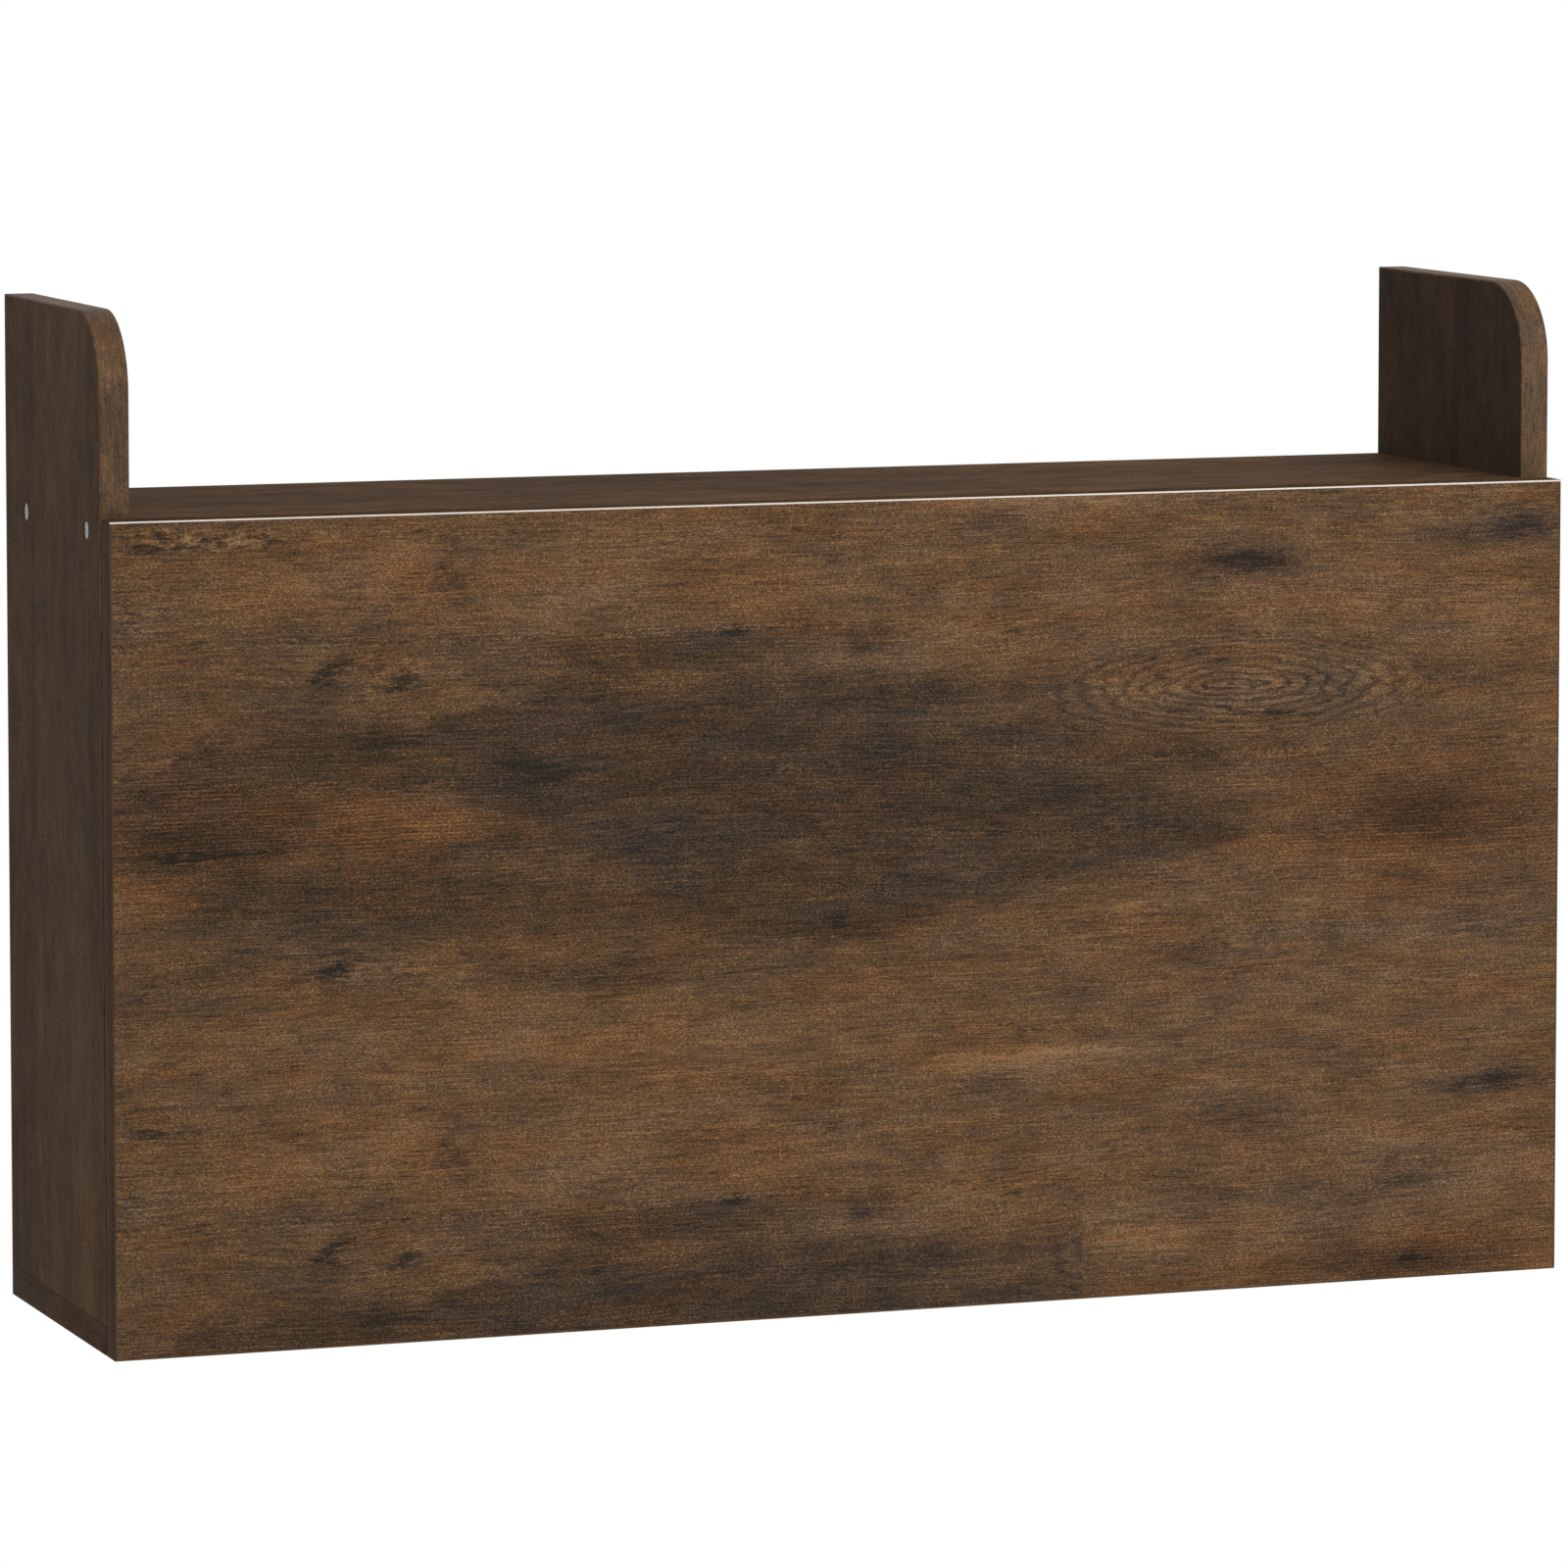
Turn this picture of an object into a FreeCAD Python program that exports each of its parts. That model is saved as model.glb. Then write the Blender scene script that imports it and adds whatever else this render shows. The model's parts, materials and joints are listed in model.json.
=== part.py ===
"""Fold-down wall desk: a shallow wall cabinet whose front is a drop flap.

Millimetres, +Z up, X across the desk, the wall at Y = 0 and the front towards -Y.
The origin is the centre of the four wall-screw holes, on the wall plane.
Each piece is written as one STEP file, named after the node.
"""
import FreeCAD, Part
import math
import os

from FreeCAD import Vector

# ---------------------------------------------------------------- driving dimensions

WIDTH = 780.0              # over the two side panels
CARCASS_DEPTH = 183.0      # wall to the carcass front edges
BODY_HEIGHT = 415.0        # underside of the bottom panel to the top of the shelf
SIDE_RISE = 101.0          # side panels above the top shelf
CORNER_RADIUS = 40.0       # front top corner of each side panel
BOARD = 15.0               # thickness of every carcass board
FLAP_THICKNESS = 15.0
FLAP_GAP = 2.0             # air between the carcass front and the closed flap
BAND = 1.0                 # edge band on every board edge that shows

BACK_THICKNESS = 3.0       # hardboard back
REBATE_WIDTH = 7.0         # how far the back reaches over the boards around it
RAIL_HEIGHT = 60.0         # the two hanging rails
WALL_SCREW_FROM_SIDE = 55.0  # column of wall screws, from the side panel's inner face
WALL_SCREW_HOLE = 6.0      # diameter
LOWER_BAY = 200.0          # clear height under the inner shelf
FRONT_SETBACK = 20.0       # inner boards stand back from the carcass front

HINGE_LENGTH = 60.0
HINGE_FROM_END = 100.0     # middle of an outer hinge, from the desk's end
HINGE_DROP = 0.4           # hinge axis below the bottom panel's underside
HINGE_PIN_RADIUS = 1.0
KNUCKLES = 5

STAY_BAR_WIDTH = 14.0
STAY_BAR_THICKNESS = 2.0
STAY_SPACER = 3.7          # between the side panel and the bar
STUD_RADIUS = 2.5
STUD_COLLAR = 5.6          # radius of its spacer and head
STUD_HEAD = 2.0            # height
STUD_GRIP = 12.0           # in the side panel
STUD_SETBACK = 28.0        # stud behind the hinge axis
PIVOT_STANDOFF = 9.0       # bar pivot behind the hinge axis, flap closed
BRACKET_THICKNESS = 1.5
BRACKET_WIDTH = 26.0
BRACKET_HEIGHT = 28.0
RIVET_RADIUS = 2.5
RIVET_HEAD_RADIUS = 4.2
RIVET_HEAD = 1.3           # height

LATCH_FROM_SIDE = 125.0    # push latch, from the side panel's inner face
LATCH_BARREL_RADIUS = 6.0
LATCH_BARREL_LENGTH = 58.0
LATCH_WALL = 1.6
LATCH_FLANGE = 2.0
LATCH_FLANGE_WIDTH = 26.0
LATCH_FLANGE_LENGTH = 44.0
LATCH_TRAVEL = 3.0         # how far a plunger can be pressed in
PLUNGER_LENGTH = 34.0
MAGNET_RADIUS = 3.0
MAGNET_LENGTH = 4.0
SPRING_WIRE = 0.5          # radius of the wire
SPRING_TURNS = 6
CATCH_PLATE = 1.0          # thickness
CATCH_PLATE_WIDTH = 34.0
CATCH_PLATE_HEIGHT = 12.0

BUMPER_RADIUS = 4.0
BUMPER_DROP = 30.0         # bumper below the top of the shelf

SCREW_FROM_WALL = 39.0     # shelf screws in the side panels
SCREW_FROM_FRONT = 27.0
PANEL_SCREW_HEAD = 4.7     # radius
PANEL_SCREW_SHANK = 3.1
PANEL_SCREW_LENGTH = 46.0
PANEL_SCREW_SUNK = 0.6     # head below the panel's face
PANEL_SCREW_RIM = 1.2      # straight rim of its head
WOOD_SCREW_HEAD = 2.6
WOOD_SCREW_SHANK = 1.4
WOOD_SCREW_LENGTH = 12.0
HEAD_RIM = 0.3             # straight rim of a short screw's head
DOWEL_RADIUS = 4.0
DOWEL_LENGTH = 30.0
DOWEL_IN_FACE = 10.0       # of its length in the board that it enters by the face
DOWEL_FROM_EDGE = 65.0
PEG_RADIUS = 2.5
PEG_DEPTH = 9.0            # in the side panel
PEG_STAND = 8.0            # out of it, under the inner shelf
PEG_FROM_EDGE = 30.0
NAIL_RADIUS = 0.7
NAIL_LENGTH = 14.0
NAIL_SPACING = 120.0

# ---------------------------------------------------------------- clearances

FIT = 0.1                  # round every fastener, and beside every inner board
RUNNING = 0.05             # round every turning pin
SLIDING = 0.3              # between faces that move past each other
KNUCKLE_ROOM = 0.6         # round a hinge's knuckles, in the boards and the other leaf
STAY_TAIL_CLEARANCE = 6.0  # closed bar's tail to the lower rail

# ---------------------------------------------------------------- planes and places

WALL = 0.0
FRONT = -CARCASS_DEPTH
FLAP_BACK = FRONT - FLAP_GAP
FLAP_FRONT = FLAP_BACK - FLAP_THICKNESS
UNDERSIDE = -BODY_HEIGHT / 2
FLOOR_TOP = UNDERSIDE + BOARD
SHELF_TOP = BODY_HEIGHT / 2
SHELF_UNDER = SHELF_TOP - BOARD
SIDE_TOP = SHELF_TOP + SIDE_RISE
OUTER = WIDTH / 2
INNER = OUTER - BOARD

BACK_FRONT = WALL - BACK_THICKNESS - FIT
RAIL_FRONT = BACK_FRONT - BOARD
INNER_FRONT = FRONT + FRONT_SETBACK
INNER_SHELF_UNDER = FLOOR_TOP + LOWER_BAY
INNER_SHELF_TOP = INNER_SHELF_UNDER + BOARD
BAY = (2 * INNER - 2 * BOARD) / 3
DIVIDER_CENTRE = (BAY + BOARD) / 2
RAIL_CENTRES = (FLOOR_TOP + RAIL_HEIGHT / 2, SHELF_UNDER - RAIL_HEIGHT / 2)
WALL_SCREW_X = INNER - WALL_SCREW_FROM_SIDE
SIDES = {"left": -1, "right": 1}

LEAF = (FLAP_GAP - 2 * FIT) / 2
KNUCKLE_RADIUS = HINGE_PIN_RADIUS + RUNNING + LEAF
AXIS_Y = FRONT - FLAP_GAP / 2
AXIS_Z = UNDERSIDE - HINGE_DROP
KNUCKLE_HOLLOW = KNUCKLE_RADIUS + KNUCKLE_ROOM
LEAF_BOTTOM = AXIS_Z + KNUCKLE_HOLLOW
LEAF_TOP = FLOOR_TOP - (LEAF_BOTTOM - UNDERSIDE)
HINGE_CENTRES = {"left": HINGE_FROM_END - OUTER, "centre": 0.0, "right": OUTER - HINGE_FROM_END}

BAR_OUTER = INNER - STAY_SPACER - SLIDING
BAR_INNER = BAR_OUTER - STAY_BAR_THICKNESS
EAR_OUTER = BAR_INNER - SLIDING
EAR_INNER = EAR_OUTER - STAY_BAR_THICKNESS
LATCH_X = INNER - LATCH_FROM_SIDE
LATCH_Z = SHELF_UNDER - LATCH_FLANGE - LATCH_BARREL_RADIUS
LATCH_MOUTH = FRONT + FLAP_GAP / 2
PLUNGER_FRONT = FLAP_BACK + CATCH_PLATE + SLIDING


def stay_geometry(radius):
    """Pivot and stud heights over the hinge axis, and the bar's two working lengths.

    The pivot on the flap and the stud on the side panel are equally far from the
    hinge axis, so the bar turns by exactly half of the flap's angle.
    """
    pivot_height = math.sqrt(radius**2 - PIVOT_STANDOFF**2)
    stud_height = math.sqrt(radius**2 - STUD_SETBACK**2)
    closed = math.hypot(STUD_SETBACK - PIVOT_STANDOFF, stud_height - pivot_height)
    opened = math.hypot(STUD_SETBACK + pivot_height, stud_height - PIVOT_STANDOFF)
    return pivot_height, stud_height, closed, opened


def tail_depth(radius):
    """How far behind the hinge axis the closed bar's tail reaches."""
    closed, opened = stay_geometry(radius)[2:]
    length = opened + STAY_BAR_WIDTH / 2 + STUD_RADIUS
    return PIVOT_STANDOFF + length * (STUD_SETBACK - PIVOT_STANDOFF) / closed


def stay_radius():
    """The largest radius whose closed bar stays clear of the lower rail."""
    room = RAIL_FRONT - STAY_TAIL_CLEARANCE - AXIS_Y
    low = STUD_SETBACK + STAY_BAR_WIDTH
    high = CARCASS_DEPTH
    for _ in range(40):
        middle = (low + high) / 2
        if tail_depth(middle) < room:
            low = middle
        else:
            high = middle
    return low


PIVOT_HEIGHT, STUD_HEIGHT, BAR_CLOSED, BAR_OPENED = stay_geometry(stay_radius())
PIVOT_Y = AXIS_Y + PIVOT_STANDOFF
PIVOT_Z = AXIS_Z + PIVOT_HEIGHT
STUD_Y = AXIS_Y + STUD_SETBACK
STUD_Z = AXIS_Z + STUD_HEIGHT
BAR_ANGLE = math.degrees(math.atan2(STUD_Z - PIVOT_Z, STUD_Y - PIVOT_Y))

X, Y, Z = Vector(1, 0, 0), Vector(0, 1, 0), Vector(0, 0, 1)

# ---------------------------------------------------------------- shape helpers


def slab(x, y, z):
    """A box between two places on each axis, given in either order."""
    low = [min(span) for span in (x, y, z)]
    size = [abs(span[1] - span[0]) for span in (x, y, z)]
    return Part.makeBox(*size, Vector(*low))


def rod(radius, length, start, direction):
    """A cylinder from a point along a direction."""
    return Part.makeCylinder(radius, length, Vector(*start), direction)


def turned(profile):
    """A solid turned about Z from (radius, height) corners, starting and ending on the axis."""
    points = [Vector(radius, 0, height) for radius, height in profile]
    outline = Part.makePolygon(points + points[:1])
    return Part.Face(outline).revolve(Vector(0, 0, 0), Z, 360)


def aimed(shape, point, direction):
    """A copy of a shape built along +Z, moved to a point and aimed along a direction."""
    placed = shape.copy()
    placed.Placement = FreeCAD.Placement(Vector(*point), FreeCAD.Rotation(Z, direction))
    return placed


def joined(shapes):
    """Several overlapping shapes as one clean solid."""
    return shapes[0].fuse(shapes[1:]).removeSplitter()


def bored(shape, cutters):
    """A shape with every cutter that reaches it taken out."""
    near = [cutter for cutter in cutters if shape.BoundBox.intersect(cutter.BoundBox)]
    return shape.cut(near) if near else shape


def mirrored(shapes):
    """Shapes with their mirror images on the other side of the desk."""
    return shapes + [shape.mirror(Vector(0, 0, 0), X) for shape in shapes]


def one_side(shape, side):
    """A right-hand piece, or its mirror image for the left."""
    return shape if side == "right" else shape.mirror(Vector(0, 0, 0), X)


# ---------------------------------------------------------------- fasteners


def cross_recess(head_radius, depth):
    """The cross-shaped driver recess in a screw head."""
    arm = head_radius * 0.62
    web = head_radius * 0.15
    return joined([slab((-arm, arm), (-web, web), (0, depth)), slab((-web, web), (-arm, arm), (0, depth))])


def screw(head_radius, shank_radius, length, rim):
    """A countersunk cross-head screw: head face at Z = 0, point along +Z."""
    cone = rim + head_radius - shank_radius
    tip = length - 1.5 * shank_radius
    body = turned([(0, 0), (head_radius, 0), (head_radius, rim), (shank_radius, cone),
                   (shank_radius, tip), (0, length)])
    return body.cut(cross_recess(head_radius, cone * 0.55))


def screw_hole(head_radius, shank_radius, length, rim, sunk):
    """What a screw needs cleared: its own shape and a clearance, open above the head."""
    cone = rim + head_radius - shank_radius
    return turned([(0, -sunk), (head_radius + FIT, -sunk), (head_radius + FIT, rim),
                   (shank_radius + FIT, cone), (shank_radius + FIT, length + FIT), (0, length + FIT)])


def panel_screws(places):
    """Long panel screws at (point, direction), with their holes."""
    sizes = (PANEL_SCREW_HEAD, PANEL_SCREW_SHANK, PANEL_SCREW_LENGTH, PANEL_SCREW_RIM)
    sunk = [(Vector(*point) + direction * PANEL_SCREW_SUNK, direction) for point, direction in places]
    solids = [aimed(screw(*sizes), *place) for place in sunk]
    holes = [aimed(screw_hole(*sizes, PANEL_SCREW_SUNK + 1), *place) for place in sunk]
    return solids, holes


def wood_screws(places):
    """Short countersunk screws with their heads flush at (point, direction), with their holes."""
    sizes = (WOOD_SCREW_HEAD, WOOD_SCREW_SHANK, WOOD_SCREW_LENGTH, HEAD_RIM)
    solids = [aimed(screw(*sizes), *place) for place in places]
    holes = [aimed(screw_hole(*sizes, HEAD_RIM), *place) for place in places]
    return solids, holes


def dowels(places):
    """Wooden dowels at (point on the joint, direction into the board's end), with their holes."""
    chamfer = DOWEL_RADIUS / 4
    start, end = -DOWEL_IN_FACE, DOWEL_LENGTH - DOWEL_IN_FACE
    pin = turned([(0, start), (DOWEL_RADIUS - chamfer, start), (DOWEL_RADIUS, start + chamfer),
                  (DOWEL_RADIUS, end - chamfer), (DOWEL_RADIUS - chamfer, end), (0, end)])
    hole = rod(DOWEL_RADIUS + FIT, DOWEL_LENGTH + 2 * FIT, (0, 0, start - FIT), Z)
    return [aimed(pin, *place) for place in places], [aimed(hole, *place) for place in places]


def pegs(places):
    """Shelf pegs at (point on the side panel's face, direction into the panel), with their holes."""
    chamfer = PEG_RADIUS / 5
    peg = turned([(0, -PEG_STAND), (PEG_RADIUS - chamfer, -PEG_STAND), (PEG_RADIUS, chamfer - PEG_STAND),
                  (PEG_RADIUS, PEG_DEPTH - chamfer), (PEG_RADIUS - chamfer, PEG_DEPTH), (0, PEG_DEPTH)])
    hole = rod(PEG_RADIUS + FIT, PEG_DEPTH + FIT, (0, 0, 0), Z)
    return [aimed(peg, *place) for place in places], [aimed(hole, *place) for place in places]


def nails(places):
    """Back-panel nails, heads flush with the back, with their holes."""
    head = 2.2 * NAIL_RADIUS
    nail = turned([(0, 0), (head, 0), (NAIL_RADIUS, head - NAIL_RADIUS),
                   (NAIL_RADIUS, NAIL_LENGTH - 2 * NAIL_RADIUS), (0, NAIL_LENGTH)])
    hole = turned([(0, 0), (head + FIT, 0), (NAIL_RADIUS + FIT, head - NAIL_RADIUS),
                   (NAIL_RADIUS + FIT, NAIL_LENGTH + FIT), (0, NAIL_LENGTH + FIT)])
    return [aimed(nail, *place) for place in places], [aimed(hole, *place) for place in places]


def spread(low, high, spacing):
    """Evenly spaced places from low to high, about one spacing apart."""
    steps = max(1, round((high - low) / spacing))
    return [low + (high - low) * step / steps for step in range(steps + 1)]


# ---------------------------------------------------------------- where the fasteners go

SHELF_MIDDLE = SHELF_TOP - BOARD / 2
SIDE_MIDDLE = OUTER - BOARD / 2
SCREW_ROWS = (WALL - SCREW_FROM_WALL, FRONT + SCREW_FROM_FRONT)
DOWEL_ROWS = (WALL - DOWEL_FROM_EDGE, FRONT + DOWEL_FROM_EDGE)

FASTENERS = {
    "shelf_screws": panel_screws(
        [((side * OUTER, y, SHELF_MIDDLE), X * -side) for side in (-1, 1) for y in SCREW_ROWS]),
    "base_screws": panel_screws(
        [((side * SIDE_MIDDLE, y, UNDERSIDE), Z) for side in (-1, 1) for y in SCREW_ROWS]),
    "carcass_dowels": dowels(
        [((side * INNER, y, SHELF_MIDDLE), X * -side) for side in (-1, 1) for y in DOWEL_ROWS]
        + [((side * SIDE_MIDDLE, y, FLOOR_TOP), Z) for side in (-1, 1) for y in DOWEL_ROWS]
        + [((side * INNER, (RAIL_FRONT + BACK_FRONT) / 2, centre + step * RAIL_HEIGHT / 4), X * -side)
           for side in (-1, 1) for centre in RAIL_CENTRES for step in (-1, 1)]),
    "divider_dowels": dowels(
        [((side * DIVIDER_CENTRE, y, z), direction)
         for side in (-1, 1) for y in DOWEL_ROWS
         for z, direction in ((INNER_SHELF_TOP, Z), (SHELF_UNDER, -Z))]),
    "shelf_pegs": pegs(
        [((side * INNER, y, INNER_SHELF_UNDER - PEG_RADIUS), X * side)
         for side in (-1, 1) for y in (WALL - PEG_FROM_EDGE, INNER_FRONT + PEG_FROM_EDGE)]),
    "back_nails": nails(
        [((side * (INNER + REBATE_WIDTH / 2), WALL, z), -Y)
         for side in (-1, 1) for z in spread(*RAIL_CENTRES, NAIL_SPACING)]
        + [((x, WALL, z), -Y) for x in spread(-INNER + BOARD, INNER - BOARD, NAIL_SPACING)
           for z in (FLOOR_TOP - REBATE_WIDTH / 2, SHELF_UNDER + REBATE_WIDTH / 2)]),
}

# ---------------------------------------------------------------- carcass boards


def side_face(inset):
    """The side panel's outline in the YZ plane, its front and top edges set in by the inset."""
    front, top, radius = FRONT + inset, SIDE_TOP - inset, CORNER_RADIUS - inset
    centre_y, centre_z = FRONT + CORNER_RADIUS, SIDE_TOP - CORNER_RADIUS
    halfway = radius * math.sqrt(0.5)
    foot_back, foot_front = Vector(0, WALL, FLOOR_TOP), Vector(0, front, FLOOR_TOP)
    arc_start, arc_end = Vector(0, front, centre_z), Vector(0, centre_y, top)
    top_back = Vector(0, WALL, top)
    bend = Part.Arc(arc_start, Vector(0, centre_y - halfway, centre_z + halfway), arc_end)
    edges = [Part.makeLine(foot_back, foot_front), Part.makeLine(foot_front, arc_start), bend.toShape(),
             Part.makeLine(arc_end, top_back), Part.makeLine(top_back, foot_back)]
    return Part.Face(Part.Wire(edges))


def side_panel(side):
    """A side panel standing on the bottom panel, rebated for the back."""
    panel = side_face(BAND).extrude(X * BOARD)
    panel.translate(X * INNER)
    rebate = slab((INNER, INNER + REBATE_WIDTH), (BACK_FRONT, WALL), (FLOOR_TOP, SHELF_UNDER + REBATE_WIDTH))
    return one_side(panel.cut(rebate), side)


def side_edge_band(side):
    """The band up the front edge, round the corner and back along the top edge."""
    band = side_face(0).cut(side_face(BAND)).extrude(X * BOARD)
    band.translate(X * INNER)
    return one_side(band, side)


def bottom_panel():
    """The full-width bottom panel, rebated for the back."""
    panel = slab((BAND - OUTER, OUTER - BAND), (WALL, FRONT + BAND), (UNDERSIDE, FLOOR_TOP))
    return panel.cut(slab((-INNER - REBATE_WIDTH, INNER + REBATE_WIDTH), (BACK_FRONT, WALL),
                          (FLOOR_TOP - REBATE_WIDTH, FLOOR_TOP)))


def bottom_edge_band():
    """The band round the bottom panel's front edge and two ends."""
    whole = slab((-OUTER, OUTER), (WALL, FRONT), (UNDERSIDE, FLOOR_TOP))
    return whole.cut(slab((BAND - OUTER, OUTER - BAND), (WALL, FRONT + BAND), (UNDERSIDE, FLOOR_TOP)))


def top_shelf():
    """The shelf between the side panels, rebated underneath for the back."""
    shelf = slab((-INNER, INNER), (WALL, FRONT + BAND), (SHELF_UNDER, SHELF_TOP))
    return shelf.cut(slab((-INNER, INNER), (BACK_FRONT, WALL), (SHELF_UNDER, SHELF_UNDER + REBATE_WIDTH)))


def back_panel():
    """The hardboard back in its rebates."""
    reach = REBATE_WIDTH - FIT
    return slab((-INNER - reach, INNER + reach), (WALL - BACK_THICKNESS, WALL),
                (FLOOR_TOP - reach, SHELF_UNDER + reach))


def wall_screw_holes():
    """The holes for the wall screws, through the rails and the back."""
    depth = WALL - RAIL_FRONT + 2 * FIT
    return [rod(WALL_SCREW_HOLE / 2, depth, (x, RAIL_FRONT - FIT, z), Y)
            for x in (-WALL_SCREW_X, WALL_SCREW_X) for z in RAIL_CENTRES]


def hanging_rail(centre):
    """A rail between the side panels that the wall screws pull against the wall."""
    return slab((-INNER, INNER), (RAIL_FRONT, BACK_FRONT),
                (centre - RAIL_HEIGHT / 2, centre + RAIL_HEIGHT / 2))


def inner_shelf():
    """The shelf on pegs inside the cabinet."""
    return slab((FIT - INNER, INNER - FIT), (BACK_FRONT - FIT, INNER_FRONT + BAND),
                (INNER_SHELF_UNDER, INNER_SHELF_TOP))


def divider(side):
    """An upright board between the inner shelf and the top shelf, notched round the upper rail."""
    x = (DIVIDER_CENTRE - BOARD / 2, DIVIDER_CENTRE + BOARD / 2)
    board = slab(x, (BACK_FRONT - FIT, INNER_FRONT + BAND), (INNER_SHELF_TOP, SHELF_UNDER))
    notch = slab(x, (RAIL_FRONT - FIT, WALL), (SHELF_UNDER - RAIL_HEIGHT - FIT, SHELF_UNDER))
    return one_side(board.cut(notch), side)


def front_band(x, z, y_front):
    """A straight band on the front edge of a board."""
    return slab(x, (y_front, y_front + BAND), z)


def bumpers():
    """Clear dots on the side panels' front edges, which the flap closes against."""
    thickness = FLAP_GAP - SLIDING
    dot = rod(BUMPER_RADIUS, thickness, (SIDE_MIDDLE, FRONT, SHELF_TOP - BUMPER_DROP), -Y)
    rim = [edge for edge in dot.Edges if edge.BoundBox.YLength < FIT and edge.BoundBox.YMax < FRONT - FIT]
    return mirrored([dot.makeFillet(thickness / 3, rim)])


# ---------------------------------------------------------------- flap


def flap_panel():
    """The flap's board, inside its edge bands."""
    return slab((BAND - OUTER, OUTER - BAND), (FLAP_BACK, FLAP_FRONT), (UNDERSIDE + BAND, SHELF_TOP - BAND))


def flap_edge_band(edge):
    """One of the flap's four edge bands; the top one runs over the two side ones."""
    y = (FLAP_BACK, FLAP_FRONT)
    bands = {
        "top": ((-OUTER, OUTER), y, (SHELF_TOP - BAND, SHELF_TOP)),
        "bottom": ((BAND - OUTER, OUTER - BAND), y, (UNDERSIDE, UNDERSIDE + BAND)),
        "left": ((-OUTER, BAND - OUTER), y, (UNDERSIDE, SHELF_TOP - BAND)),
        "right": ((OUTER - BAND, OUTER), y, (UNDERSIDE, SHELF_TOP - BAND)),
    }
    return slab(*bands[edge])


# ---------------------------------------------------------------- hinges


def hinge_screw_places(centre, face, direction):
    """Three screws through a leaf, into the wood."""
    z = (LEAF_BOTTOM + LEAF_TOP) / 2
    return [((centre + step * HINGE_LENGTH / 3, face, z), direction) for step in (-1, 0, 1)]


def hinge_leaf(centre, first_knuckle, wood, outer):
    """A leaf from the wood's face to its outer face, rolled round the pin at every other knuckle."""
    pitch = HINGE_LENGTH / KNUCKLES
    start = centre - HINGE_LENGTH / 2
    plate = slab((start, start + HINGE_LENGTH), (wood, outer), (LEAF_BOTTOM, LEAF_TOP))
    pieces = [plate]
    for knuckle in range(first_knuckle, KNUCKLES, 2):
        left = start + knuckle * pitch + FIT
        length = pitch - 2 * FIT
        pieces.append(rod(KNUCKLE_RADIUS, length, (left, AXIS_Y, AXIS_Z), X))
        pieces.append(slab((left, left + length), (wood, outer), (AXIS_Z, LEAF_BOTTOM)))
    bore = rod(HINGE_PIN_RADIUS + RUNNING, HINGE_LENGTH + 2, (start - 1, AXIS_Y, AXIS_Z), X)
    return joined(pieces).cut(bore)


def hinge_hollow(centre):
    """The hollow that lets a hinge's knuckles into the lower edges of flap and carcass."""
    half = HINGE_LENGTH / 2 + KNUCKLE_ROOM
    return slab((centre - half, centre + half), (AXIS_Y - KNUCKLE_HOLLOW, AXIS_Y + KNUCKLE_HOLLOW),
                (UNDERSIDE - KNUCKLE_RADIUS, LEAF_BOTTOM))


def hinge_pin(centre):
    """The pin through a hinge's knuckles."""
    pin = rod(HINGE_PIN_RADIUS, HINGE_LENGTH, (centre - HINGE_LENGTH / 2, AXIS_Y, AXIS_Z), X)
    return pin.makeChamfer(HINGE_PIN_RADIUS / 4, [pin.Edges[0], pin.Edges[2]])


# ---------------------------------------------------------------- flap stays


def stay_bar(side):
    """The slotted bar that turns on the flap's bracket and slides over the stud."""
    half = STAY_BAR_WIDTH / 2
    tail = BAR_OPENED + STUD_RADIUS
    slot_half = STUD_RADIUS + FIT
    x = (BAR_INNER, BAR_OUTER)
    bar = joined([slab(x, (0, tail), (-half, half)),
                  rod(half, STAY_BAR_THICKNESS, (BAR_INNER, 0, 0), X),
                  rod(half, STAY_BAR_THICKNESS, (BAR_INNER, tail, 0), X)])
    slot = joined([slab(x, (BAR_CLOSED, BAR_OPENED), (-slot_half, slot_half)),
                   rod(slot_half, STAY_BAR_THICKNESS, (BAR_INNER, BAR_CLOSED, 0), X),
                   rod(slot_half, STAY_BAR_THICKNESS, (BAR_INNER, BAR_OPENED, 0), X)])
    bar = bar.cut([slot, rod(RIVET_RADIUS + RUNNING, STAY_BAR_THICKNESS, (BAR_INNER, 0, 0), X)])
    bar.rotate(Vector(0, 0, 0), X, BAR_ANGLE)
    bar.translate(Vector(0, PIVOT_Y, PIVOT_Z))
    return one_side(bar, side)


def stay_stud(side):
    """The shoulder stud in the side panel: a screw, a spacer collar, a shoulder and a head."""
    shoulder_end = STAY_SPACER + STAY_BAR_THICKNESS + 2 * SLIDING
    head_end = shoulder_end + STUD_HEAD
    round_off = STUD_HEAD * 0.4
    stud = turned([(0, -head_end), (STUD_COLLAR - round_off, -head_end), (STUD_COLLAR, round_off - head_end),
                   (STUD_COLLAR, -shoulder_end), (STUD_RADIUS, -shoulder_end), (STUD_RADIUS, -STAY_SPACER),
                   (STUD_COLLAR, -STAY_SPACER), (STUD_COLLAR, 0), (STUD_RADIUS, 0),
                   (STUD_RADIUS, STUD_GRIP - STUD_RADIUS), (0, STUD_GRIP)])
    stud = stud.cut(cross_recess(STUD_RADIUS * 1.4, STUD_HEAD * 0.6).translated(Z * -head_end))
    return one_side(aimed(stud, (INNER, STUD_Y, STUD_Z), X), side)


def stud_hole(side):
    """The stud's hole in the side panel."""
    return one_side(rod(STUD_RADIUS + FIT, STUD_GRIP + FIT, (INNER, STUD_Y, STUD_Z), X), side)


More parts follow.
